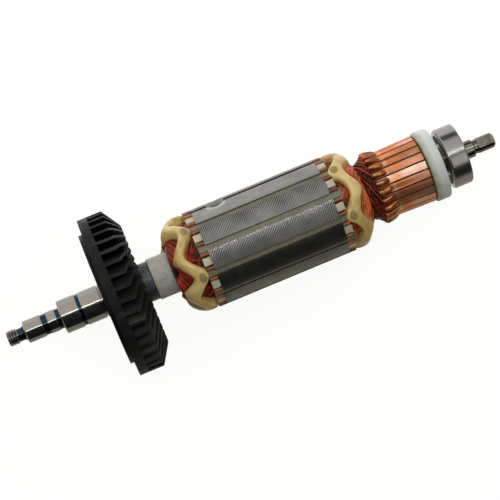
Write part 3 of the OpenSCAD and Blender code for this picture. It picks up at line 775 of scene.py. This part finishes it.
barLook = {
    "copper": (0.8, 0.31, 0.145), "pink": (0.95, 0.62, 0.48), "highlightBar": 23, "swept": (150, 3, 0.6),
    "brown": (0.3, 0.085, 0.035), "grime": (420, 3.5, 0.25), "stretch": 0.25, "smooth": 0.36, "rough": 0.46,
    # Stations and lengths in mm along the shaft
    "hooksEnd": 119.2, "end": 131, "tarnish": 9, "shelter": 4.5, "edge": 120.3, "edgeWide": 0.9,
    "orange": (0.8, 0.26, 0.05), "tarnished": (210, 4, 0.45),
    "edgeWorn": (330, 4, 0.55), "burntAndShade": (0.05, 0.016, 0.008), "sheltered": (500, 3, 1.1),
}


def barFinish():
    # Track polished by the brushes, a tone for each bar, tarnish near the hooks, one bar with a painted
    # highlight, and painted shade with burn marks between the hooks
    look = barLook
    made, tree, shader, place = newFinish("barCopper", 0.92)
    bars = aboutShaft(tree, place, barCount, hookPhase - 180 / barCount)
    along, hooksEnd, edgeWide = bars["Along"], look["hooksEnd"] * mm, look["edgeWide"] * mm
    # Painted highlight: one bar is laid pale all along; the track polished by the brushes is laid pale too
    pale = isNumber(tree, bars["Index"], look["highlightBar"])
    swept = mapped(tree, along, hooksEnd, look["end"] * mm)
    swept = times(tree, swept, blotch(tree, place, *look["swept"]))
    swept = times(tree, swept, ownTone(tree, bars["Index"]))
    pale = mathNode(tree, "MAXIMUM", pale, times(tree, swept, 1.1), clamp=True)
    colour = mixColour(tree, pale, look["copper"], look["pink"])
    inputs = {0: place, 1: (look["stretch"], 1, 1)}
    stretched = addNode(tree, "ShaderNodeVectorMath", inputs, operation="MULTIPLY").outputs[0]
    grime = blotch(tree, stretched, *look["grime"])
    colour = stain(tree, colour, look["brown"], grime, 0.6)
    nearHooks = mapped(tree, along, hooksEnd, (look["hooksEnd"] + look["tarnish"]) * mm, 1.4, 0)
    tarnish = times(tree, nearHooks, blotch(tree, place, *look["tarnished"]), clamp=True)
    colour = stain(tree, colour, look["orange"], tarnish, 0.85)
    # A worn line just past the hooks
    beside = mapped(tree, apart(tree, along, look["edge"] * mm), 0.3 * edgeWide, edgeWide, 1, 0)
    beside = times(tree, beside, blotch(tree, place, *look["edgeWorn"]))
    colour = stain(tree, colour, look["pink"], beside, 0.6)
    # Burnt dark between the hooks
    # Painted shade and burn marks between the hooks, in dark blotches
    under = mapped(tree, along, (look["hooksEnd"] - look["shelter"]) * mm, hooksEnd, 1, 0)
    colour = stain(tree, colour, look["burntAndShade"], under, blotch(tree, place, *look["sheltered"]))
    paint(tree, shader, colour)
    roughen(tree, shader, grime, look["smooth"], look["rough"])
    return made


ringLook = {"white": (0.78, 0.83, 0.79), "milky": (0.7, 0.74, 0.68), "tones": (160, 2.5),
            "olive": (0.3, 0.31, 0.16), "edge": 133.9, "band": 2.6, "greasy": (260, 1.5, 0.85)}


def ringFinish():
    # Natural nylon with a greasy olive band beside the commutator
    look = ringLook
    made, tree, shader, place = newFinish("ringNylon", roughness=0.36)
    colour = mixColour(tree, blotch(tree, place, *look["tones"]), look["white"], look["milky"])
    along = aboutShaft(tree, place)["Along"]
    greasy = mapped(tree, along, look["edge"] * mm, (look["edge"] + look["band"]) * mm, 1, 0)
    paint(tree, shader, stain(tree, colour, look["olive"], greasy, blotch(tree, place, *look["greasy"])))
    return made


hookLook = {"gold": (0.8, 0.29, 0.1), "rose": (0.48, 0.11, 0.04), "burntAndShade": (0.025, 0.006, 0.003),
            "hollows": (520, 4, 0.5), "bright": (0.92, 0.46, 0.2), "worn": (0.51, 0.58, 0.8),
            "gloss": (900, 2), "smooth": 0.2, "rough": 0.45, "lumps": (800, 2)}


def copyTone(tree, name="copyTone"):
    return addNode(tree, "ShaderNodeAttribute", attribute_name=name).outputs["Fac"]


def hookFinish():
    # Fused bronze of the bent hooks, dark in blotches with burn marks and painted shade for its hollows
    look = hookLook
    made, tree, shader, place = newFinish("hookBronze", 0.9)
    colour = mixColour(tree, copyTone(tree), look["gold"], look["rose"])
    colour = stain(tree, colour, look["burntAndShade"], blotch(tree, place, *look["hollows"]), 0.9)
    # Bright crests: wear, partly painted highlight
    colour = stain(tree, colour, look["bright"], wornAndLitMask(tree, place, *look["worn"]), 0.6)
    paint(tree, shader, colour)
    gloss(tree, shader, place, look)
    bump(tree, shader, blotch(tree, place, *look["lumps"]), 0.08, 0.6)
    return made


wireLooks = {
    # finish: material, tone of the darkest wires, tone of the brightest
    "driveWire": ("driveWire", (0.13, 0.008, 0.005), (1.0, 0.1, 0.035)),
    "commWire": ("commutatorWire", (0.6, 0.055, 0.016), (1.0, 0.3, 0.09)),
    "leadWire": ("leadWire", (0.06, 0.004, 0.0015), (0.82, 0.1, 0.028)),
}


enamel = {"roughness": 0.3, "contrast": 1.8, "soot": (320, 4.5, 0.35), "sootCover": 0.7, "sootShare": 0.1,
          "sockets": {"Specular IOR Level": 0.32, "Coat Weight": 0.06, "Coat Roughness": 0.2}}


def enamelFinish(name, dark, bright):
    # A tone for each wire, with soot between them
    made, tree, shader, place = newFinish(name, 0, enamel["roughness"], enamel["sockets"])
    own = mathNode(tree, "FRACT", mathNode(tree, "ADD", copyTone(tree, "wireTone"), copyTone(tree)))
    colour = mixColour(tree, mathNode(tree, "POWER", own, enamel["contrast"]), dark, bright)
    soot = tuple(part * enamel["sootShare"] for part in dark)
    sooty = blotch(tree, place, *enamel["soot"])
    paint(tree, shader, stain(tree, colour, soot, sooty, enamel["sootCover"]))
    return made


resinLook = {
    "pale": (0.88, 0.7, 0.29), "amber": (0.62, 0.38, 0.1), "tones": (90, 3, 0.4, 2),
    "deep": (0.3, 0.15, 0.04), "deeper": (140, 5, -0.1),
    # Flats of the turning tool: shares of a wave across, mm from the middle of the core along
    "cut": (0.2, 0.13, 0.05), "waves": 6, "phase": -70, "coreMiddle": 74.8, "away": 27.9, "long": 1.35,
    "wide": 0.1, "cutFrom": 0.9, "cutTo": 0.5, "smooth": 0.18, "rough": 0.45, "skin": (300, 2, 0.5, 2),
    "depth": {"Subsurface Weight": 0.2, "Subsurface Radius": (1.2, 0.7, 0.3), "Subsurface Scale": 1 * mm,
              "Coat Weight": 0.3},
}


def resinFinish():
    look = resinLook
    made, tree, shader, place = newFinish("beadResin", sockets=look["depth"])
    colour = mixColour(tree, blotch(tree, place, *look["tones"]), look["pale"], look["amber"])
    colour = stain(tree, colour, look["deep"], blotch(tree, place, *look["deeper"]), 0.6)
    # One flat where each wave comes nearest the core
    where = aboutShaft(tree, place, look["waves"], look["phase"])
    along = apart(tree, where["Along"], look["coreMiddle"] * mm)
    flat = useGroup(tree, roundPatch, {
        "Along": along, "Middle": look["away"] * mm, "Long": look["long"] * mm, "Across": where["Within"],
        "Centre": 0.5, "Wide": look["wide"]})["Mask"]
    inside, outside = ((coreRadius - look[key]) * mm for key in ("cutFrom", "cutTo"))
    outer = mapped(tree, where["Radius"], inside, outside)
    trimmed = times(tree, flat, outer)
    paint(tree, shader, stain(tree, colour, look["cut"], trimmed, 0.7))
    roughen(tree, shader, trimmed, look["smooth"], look["rough"])
    bump(tree, shader, blotch(tree, place, *look["skin"]), 0.05, 0.4)
    return made


def makeFinishes():
    finishes["shaft"] = steelFinish("groundSteel", steel["shaft"], steel["grooves"], steel["spots"])
    finishes["bearing"] = steelFinish("bearingSteel", steel["bearing"])
    for finish, look in plainLooks.items():
        finishes[finish] = plainFinish(*look, scooped=finish == "wedge")
    for finish, look in wireLooks.items():
        finishes[finish] = enamelFinish(*look)
    finishes["fan"] = fanFinish()
    finishes["core"] = coreFinish()
    finishes["bars"] = barFinish()
    finishes["ring"] = ringFinish()
    finishes["hooks"] = hookFinish()
    finishes["resin"] = resinFinish()


makeFinishes()
print("finishes ready:", len(finishes))

# Turned, moulded and stacked parts

softPieces = {
    # node: (piece, slot, finish, corner in mm)
    "fan": ("mouldedFan", "fan_plastic", "fan", 0.14),
    "fan_spacer": ("spacerCollar", "collar_steel", "collar", 0.15),
    "shaft_sleeve": ("fibreSleeve", "sleeve_fibre", "sleeve", 0.12),
    "core": ("stackedCore", "core_steel", "core", 0.1),
    "drive_end_insulator": ("driveInsulator", "insulator_white", "insulator", 0.14),
    "commutator_end_insulator": ("commutatorInsulator", "insulator_white", "insulator", 0.14),
    "slot_wedges": ("slotWedges", "wedge_fibre", "wedge", 0.2),
    "commutator_bars": ("commutatorBars", "bar_copper", "bars", 0.16),
    "commutator_hub": ("commutatorHub", "hub_moulding", "hub", 0.1),
    "insulating_ring": ("nylonRing", "ring_nylon", "ring", 0.15),
    "bearing_outer_ring": ("outerRing", "bearing_steel", "bearing", 0.12),
    "bearing_inner_ring": ("innerRing", "bearing_steel", "bearing", 0.1),
}
wornNodes = {
    # node: (slot, finish)
    "slot_liners": ("liner_paper", "paper"),
    "slot_coils": ("wire_enamel", "driveWire"),
    "bearing_balls": ("bearing_steel", "bearing"),
    "bearing_cage": ("cage_nylon", "cage"),
    "bearing_seal_inboard": ("seal_rubber", "seal"),
    "bearing_seal_outboard": ("seal_rubber", "seal"),
}
soft = {}
for node, (name, slot, finish, corner) in softPieces.items():
    soft[node] = softened(node, name, finishes[finish], corner)
for node, (slot, finish) in wornNodes.items():
    nodes[node].data.materials.clear()
    nodes[node].data.materials.append(finishes[finish])
print("softened pieces:", len(softPieces))

# Shaft with its thread

thread = {
    "radius": 3.0, "pitch": 1.0, "depth": 0.45, "length": 3.55, "stub": 2.4, "corner": 0.1, "overlap": 0.02,
    "chamfer": 0.5, "runOut": 0.5, "runOutSlope": 0.7, "flank": 2.6, "crest": 0.3,
    "turnSteps": 72, "rowsPerPitch": 14, "crease": 40,
}


def makeShaft():
    shaft = softened("shaft", "turnedShaft", finishes["shaft"], thread["corner"])
    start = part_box("shaft")[0][0]
    end = start + thread["length"] * mm
    drawnIn(shaft.data, end + thread["overlap"] * mm, thread["stub"])
    outside = thread["radius"] * mm
    rows = []
    count = int(thread["length"] / thread["pitch"] * thread["rowsPerPitch"])
    for i in range(count + 1):
        x = start + (end - start) * i / count
        row = []
        for j in range(thread["turnSteps"]):
            turn = 360 * j / thread["turnSteps"]
            phase = ((x - start) / (thread["pitch"] * mm) + turn / 360) % 1
            wave = min(1, max(0, abs(phase - 0.5) * thread["flank"] - thread["crest"]))
            radius = outside - thread["depth"] * mm * (1 - wave)
            taper = outside - max(0, thread["chamfer"] * mm - (x - start))
            runOut = outside - thread["runOutSlope"] * max(0, thread["runOut"] * mm - (end - x))
            row.append(polar(min(radius, taper, runOut), turn, x))
        rows.append(row)
    mesh = gridMesh("threadedEnd", rows)
    shadeByAngle(mesh, thread["crease"])
    finishPiece(addObject("threadedEnd", mesh), "shaft", finishes["shaft"])


makeShaft()
print("shaft and thread ready")

# Hooks and liner folds

hooks = {
    "copies": 8, "trimRadius": 11.9, "sides": 14, "lump": 0.16, "play": 0.5, "seed": 9,
    # mm behind the front of the bars, radius of the middle, half the height, half the width
    "rings": ((-0.1, 11.5, 0.45, 0.35), (0.05, 11.9, 0.95, 0.55), (0.5, 12.15, 1.08, 0.7),
              (1.2, 12.25, 1.02, 0.82), (2.1, 12.2, 0.94, 0.92), (3.1, 12.1, 0.86, 1.0),
              (3.9, 11.95, 0.75, 1.04), (4.5, 11.8, 0.62, 1.0), (5.0, 11.7, 0.45, 0.85)),
}
lumpStretch = (0.9, 1.1, 0.7)     # for mm along the shaft, radians round the section, degrees of turn


def lumpyRow(x, radius, high, wide, turn, sides, lump):
    # One rounded section with a little unevenness, in mm and degrees
    row = []
    for j in range(sides):
        angle = 2 * math.pi * j / sides
        up = squared(math.sin(angle)) * high
        across = squared(math.cos(angle)) * wide
        spot = [value * scale for value, scale in zip((x, angle, turn), lumpStretch)]
        shift = lump * noise.noise(Vector(spot))
        reach = radius + up + shift
        row.append(polar(reach * mm, turn + math.degrees((across + shift) / reach), x * mm))
    return row


def joinMeshes(name, meshes):
    shape = bmesh.new()
    for mesh in meshes:
        shape.from_mesh(mesh)
        bpy.data.meshes.remove(mesh)
    joined = bpy.data.meshes.new(name)
    shutMesh(shape, joined)
    smoothAll(joined)
    return addObject(name, joined)


def hookTurns(copies):
    # Degrees of the hooks that one copy holds
    return [hookPhase + hook * 360 / barCount for hook in range(barCount // copies)]


def makeHooks():
    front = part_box("commutator_bars")[0][0] / mm
    # The square tops of the solid hooks give way to the bent ones
    drawnIn(soft["commutator_bars"].data, (front + hooks["rings"][-1][0]) * mm, hooks["trimRadius"])
    meshes = []
    for turn in hookTurns(hooks["copies"]):
        rows = [lumpyRow(front + offset, radius, high, wide, turn, hooks["sides"], hooks["lump"])
                for offset, radius, high, wide in hooks["rings"]]
        meshes.append(gridMesh("hook", rows))
    piece = joinMeshes("bentHooks", meshes)
    growTree(piece, repeatTree, finishes["hooks"], hooks["copies"], hooks["play"], hooks["seed"])
    finishPiece(piece, "commutator_bars")


folds = {"offset": 1.95, "width": 0.9, "radius": 16.9, "high": 0.68, "lump": 0.06, "sides": 10, "steps": 4,
         "inset": 0.02, "play": 0.2, "seed": 4}


def makeFolds():
    # Edges of the slot paper, folded over beside the wedges where they leave the core
    meshes = []
    for node in ("drive_end_insulator", "commutator_end_insulator"):
        low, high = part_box(node)
        for side in (-1, 1):
            turn = slotPhase + side * math.degrees(folds["offset"] / folds["radius"])
            rows = []
            for k in range(folds["steps"] + 1):
                part = folds["inset"] + (1 - 2 * folds["inset"]) * k / folds["steps"]
                x = (low[0] + (high[0] - low[0]) * part) / mm
                rows.append(lumpyRow(x, folds["radius"], folds["high"], folds["width"] / 2, turn,
                                     folds["sides"], folds["lump"]))
            meshes.append(gridMesh("fold", rows))
    piece = joinMeshes("linerFolds", meshes)
    growTree(piece, repeatTree, finishes["paper"], slotCount, folds["play"], folds["seed"])
    finishPiece(piece, "slot_liners")
    liners = addObject("slotLiners", nodes["slot_liners"].data.copy())
    finishPiece(liners, "slot_liners", finishes["paper"])


makeHooks()
makeFolds()
print("hooks and liner folds ready")

# Windings

heads = {
    # Lengths in mm, counted outwards from the face at the core; lean, sweep and play in degrees.
    # power is how late the wires sweep; reach is a share of the head
    "drive": {
        "node": "drive_end_winding", "way": -1, "neck": 8.4, "lean": -140, "bent": 1.4,
        "finish": "driveWire", "seed": 3,
        "lays": (
            {"wires": 30, "wire": 0.22, "sweep": -80, "power": 2.1, "reach": 1,
             "lift": 0, "bundle": 5, "play": 0.9},
            {"wires": 12, "wire": 0.22, "sweep": 34, "power": 1.1, "reach": 0.55,
             "lift": 0.25, "bundle": 6, "play": 1.5},
        ),
    },
    "commutator": {
        "node": "commutator_end_winding", "way": 1, "neck": 9.2, "lean": 140, "bent": 0,
        "finish": "commWire", "seed": 11,
        "lays": (
            {"wires": 30, "wire": 0.23, "sweep": -75, "power": 1.9, "reach": 1,
             "lift": 0, "bundle": 6, "play": 0.9},
            {"wires": 10, "wire": 0.23, "sweep": 30, "power": 1.1, "reach": 0.5,
             "lift": 0.2, "bundle": 5, "play": 1.5},
        ),
    },
}
headShape = {"radius": 14.6, "flat": 2, "ripple": 0.5, "setBack": 0.5, "bore": 8, "boreEdge": 8.3}
strand = {
    "copies": 6, "steps": 16, "start": -0.03, "top": 0.99,        # shares of the length of a lay
    "gather": 0.45, "gatherLength": 4,
    "sway": 0.7, "swayTurn": 7, "swayStep": 2.4,
    "dip": 0.7,         # how far the ends of a short lay go under, in mm
    # Play of a bundle, a wire's place, its height and its sweep
    "bundlePlay": (-0.4, 0.08), "startPlay": (-0.5, 0.5), "liftPlay": (-0.1, 0.05), "sweepPlay": (0.9, 1.1),
}


def headSpan(head):
    low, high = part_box(head["node"])
    face = high[0] if head["way"] < 0 else low[0]
    return face / mm, (high[0] - low[0]) / mm


def domeRadius(head, length, distance):
    depth = min(1, max(0, (distance - headShape["flat"]) / (length - headShape["flat"])))
    return head["neck"] + (headShape["radius"] - head["neck"]) * math.sqrt(1 - depth * depth), depth


def headRadius(head, length, distance, turn):
    radius, depth = domeRadius(head, length, distance)
    wave = slotCount * (turn - slotPhase) + head["lean"] * depth
    hollow = headShape["ripple"] * (1 - math.cos(math.radians(wave))) / 2
    return radius - hollow * math.sqrt(1 - depth * depth)


def squeezed(head, distance, length, turn):
    # The formed end is full towards +Z only
    spare = head["bent"] * (1 - max(0, math.cos(math.radians(turn))))
    return distance * (1 - spare / length)


def layPaths(head, lay, face, length, chance):
    sector, pitch = 360 / strand["copies"], 360 / slotCount
    paths, drop = [], 0
    for wire in range(lay["wires"]):
        if wire % lay["bundle"] == 0:
            drop = chance.uniform(*strand["bundlePlay"])
        start = slotPhase + sector * (wire + 0.5) / lay["wires"] + chance.uniform(*strand["startPlay"])
        # Wires gather at the mouth of the nearest slot and spread over the dome
        slotAt = slotPhase + pitch * round((start - slotPhase) / pitch)
        lift = lay["lift"] + drop + chance.uniform(*strand["liftPlay"])
        sweep = lay["sweep"] * chance.uniform(*strand["sweepPlay"])
        path = []
        for k in range(strand["steps"] + 1):
            part = k / strand["steps"]
            share = strand["top"] * math.sin(math.radians(90 * part)) if part > 0 else strand["start"]
            distance = length * lay["reach"] * share
            gather = strand["gather"] * max(0, 1 - distance / strand["gatherLength"])
            turn = start + (slotAt - start) * gather
            swept = (max(0, distance) / length / lay["reach"]) ** lay["power"]
            sway = math.sin(strand["swayTurn"] * part + wire * strand["swayStep"])
            turn += sweep * swept + strand["sway"] * sway
            radius = headRadius(head, length, distance, turn) - lay["wire"] + lift
            if lay["reach"] < 1:
                radius -= strand["dip"] * part ** 3
            x = face + head["way"] * squeezed(head, distance, length, turn)
            path.append(polar(radius * mm, turn, x * mm))
        paths.append(path)
    return paths


def makeInnerTurns(side, face, length):
    # Dark mass of the inner turns, set back under the strands and coloured very dark as painted shade between
    # them
    head = heads[side]
    body = addObject(side + "InnerTurns", nodes[head["node"]].data.copy())
    shape = openMesh(body.data, weld=True)
    for vertex in shape.verts:
        place = vertex.co
        radius = math.hypot(place.y, place.z)
        distance = abs(place.x / mm - face)
        turn = math.degrees(math.atan2(-place.y, place.z))
        place.x = (face + head["way"] * squeezed(head, distance, length, turn)) * mm
        if radius > headShape["boreEdge"] * mm:
            scale = max(headShape["bore"] * mm, radius - headShape["setBack"] * mm) / radius
            place.y, place.z = place.y * scale, place.z * scale
    shutMesh(shape, body.data)
    finishPiece(body, head["node"], finishes["shadedWire"])


def makeWinding(side):
    head = heads[side]
    face, length = headSpan(head)
    chance = random.Random(head["seed"])
    for number, lay in enumerate(head["lays"]):
        paths = layPaths(head, lay, face, length, chance)
        piece = growWires(f"{side}Strands{number}", paths, lay, finishes[head["finish"]],
                          strand["copies"], lay["play"], head["seed"] + number)
        finishPiece(piece, head["node"])
    makeInnerTurns(side, face, length)


for side in heads:
    makeWinding(side)
print("windings ready")

# Resin beads

beads = {
    # swing along the shaft, how far the bead runs on to the insulator at its turns, and how much further
    # it swings about one turn of the shaft, in mm and degrees
    "drive": {"node": "drive_end_bead", "swing": 4.7, "reach": 0.8, "fullAt": -125, "full": 2.3},
    "commutator": {"node": "commutator_end_bead", "swing": 3.3, "reach": 1.3, "fullAt": -45, "full": 0.5},
}
beadShape = {
    "waves": 6, "phase": -40, "width": 5.0, "thickness": 2.8, "gap": 0.05, "lift": 0.15, "sharpness": 0.75,
    "fullWidth": 50, "turnShare": 0.4, "swell": 0.12, "thinned": 0.03, "under": 1.1, "underFrom": -0.2,
    "roundness": 0.7,
    # Unevenness of the thickness and the width as shares, and of the route in mm: amount and scale
    "lumps": (0.1, 4), "uneven": (0.12, 5), "wander": (0.2, 7),
    "easeFrom": 0.3, "ease": 0.29,      # the last mm before the turned size of the core
    "steps": 288, "sides": 18,
}


def zigzag(turn):
    k = beadShape["sharpness"]
    low = math.acos(k)
    return (math.acos(k * math.cos(math.radians(beadShape["waves"] * turn))) - low) / (math.pi - 2 * low)


def unevenness(key, probe, shift=(0, 0, 0)):
    amount, scale = beadShape[key]
    return amount * noise.noise(probe * scale + Vector(shift))


def beadRow(bead, head, face, length, turn):
    # One section of the bead, on the dome of the head and trimmed with the core
    look = beadShape
    probe = Vector((math.cos(math.radians(turn)), math.sin(math.radians(turn)), 0.3 * head["way"]))
    along = zigzag(turn - look["phase"])
    near = max(0, 1 - along / look["turnShare"])
    thin = 1 + unevenness("lumps", probe) + look["swell"] * near * near - look["thinned"]
    wide = 1 + unevenness("uneven", probe, (3, 1, 2))
    away = (turn - bead["fullAt"] + 180) % 360 - 180
    swing = bead["swing"] + bead["full"] * math.exp(-(away / look["fullWidth"]) ** 2)
    middle = look["gap"] + look["width"] / 2 + swing * along + unevenness("wander", probe)
    limit = coreRadius - look["easeFrom"]
    row = []
    for j in range(look["sides"]):
        angle = 2 * math.pi * j / look["sides"]
        across = squared(math.cos(angle)) / 2
        rise = max(0, math.sin(angle)) ** look["roundness"]
        distance = middle + across * look["width"] * wide
        distance -= bead["reach"] * near * max(0, -2 * across)
        base = domeRadius(head, length, distance)[0] + look["lift"]
        sunk = look["under"] if math.sin(angle) < look["underFrom"] else 0
        radius = base - sunk + rise * look["thickness"] * thin
        if radius > limit:
            radius = limit + look["ease"] * math.tanh((radius - limit) / look["ease"])
        row.append(polar(radius * mm, turn, (face + head["way"] * distance) * mm))
    return row


def makeBead(side):
    bead, head = beads[side], heads[side]
    face, length = headSpan(head)
    turns = [360 * i / beadShape["steps"] for i in range(beadShape["steps"])]
    mesh = gridMesh(side + "Bead", [beadRow(bead, head, face, length, turn) for turn in turns], closed=True)
    smoothAll(mesh)
    finishPiece(addObject(side + "Bead", mesh), bead["node"], finishes["resin"])


for side in beads:
    makeBead(side)
print("beads ready")

# Leads between the winding and the hooks

leads = {
    "copies": 6, "play": 0.8, "seed": 5, "steps": 16, "bend": 1.15, "pastHook": 0.15,
    "slackPlay": (-0.25, 0.3), "earlyPlay": (0.3, 1),
    "lays": (
        # wire radius, degrees back from the hook, radius at the neck and at the hook, power of the rise,
        # play of the turn in degrees, and how early the lead leaves the winding in mm
        {"wire": 0.23, "turn": 82, "low": 9.45, "high": 12.3, "power": 1.7, "wander": 6, "early": 1.4},
        {"wire": 0.22, "turn": 58, "low": 9.1, "high": 11.7, "power": 1.5, "wander": 9, "early": 1.1},
        {"wire": 0.2, "turn": -46, "low": 9.2, "high": 11.2, "power": 1.3, "wander": 14, "early": 0.6},
    ),
    # Cone of painted shade under the leads: mm from their start, radius
    "cone": ((0.02, 8.45), (0.03, 8.85), (1.2, 9.05), (2.4, 9.95), (3.4, 10.65), (3.45, 8.45)),
    "coneSteps": 72,
}


def leadPath(lay, hookTurn, start, end, chance):
    bend = chance.uniform(-1, 1) * lay["wander"]
    slack = chance.uniform(*leads["slackPlay"])
    early = lay["early"] * chance.uniform(*leads["earlyPlay"])
    path = []
    for k in range(leads["steps"] + 1):
        part = k / leads["steps"]
        turn = hookTurn - (lay["turn"] + bend) * (1 - part) ** leads["bend"]
        x = start - early + (end - start + early) * part
        rise = (lay["high"] - lay["low"]) * part ** lay["power"]
        radius = lay["low"] + rise + slack * math.sin(math.pi * part)
        path.append(polar(radius * mm, turn, x * mm))
    return path


def makeLeads():
    low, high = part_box("lead_wires")
    start, end = low[0] / mm, high[0] / mm + leads["pastHook"]
    chance = random.Random(leads["seed"])
    for number, lay in enumerate(leads["lays"]):
        paths = [leadPath(lay, turn, start, end, chance) for turn in hookTurns(leads["copies"])]
        piece = growWires(f"hookLeads{number}", paths, lay, finishes["leadWire"],
                          leads["copies"], leads["play"], leads["seed"] + number)
        finishPiece(piece, "lead_wires")
    around = [360 * j / leads["coneSteps"] for j in range(leads["coneSteps"])]
    rows = [[polar(radius * mm, turn, (start + offset) * mm) for turn in around]
            for offset, radius in leads["cone"]]
    # Painted shade: a very dark cone under the leads
    dark = addObject("leadShade", gridMesh("leadShade", rows))
    finishPiece(dark, "lead_wires", finishes["shadedWire"])


makeLeads()
print("leads ready")

# Floor


def makeFloor():
    data = bpy.data.meshes.new("floor")
    size, drop = studio["floorSize"] / 2, cadLow.z - studio["floorDrop"]
    corners = [(x, y, drop) for x, y in ((-size, -size), (size, -size), (size, size), (-size, size))]
    data.from_pydata(corners, [], [(0, 1, 2, 3)])
    made, tree, shader, place = newFinish("paleFloor", roughness=0.9)
    # Painted shade: towards -Y the part sees the floor glow dimmer than the camera does, as the shadowed
    # table beside it
    seen = tree.nodes.new("ShaderNodeLightPath").outputs["Is Camera Ray"]
    across = addNode(tree, "ShaderNodeSeparateXYZ", {0: place}).outputs[1]
    far = mapped(tree, across, studio["dimFrom"], studio["dimTo"])
    glow = mixColour(tree, mathNode(tree, "MAXIMUM", seen, far), studio["dimGlow"], studio["fullGlow"])
    tree.links.new(glow, shader.inputs["Emission Color"])
    shader.inputs["Emission Strength"].default_value = studio["floorGlow"]
    patches = blotch(tree, place, *studio["floorBlotch"])
    paint(tree, shader, mixColour(tree, patches, studio["floorColour"], studio["floorPatch"]))
    data.materials.append(made)
    addObject("floor", data)


makeFloor()
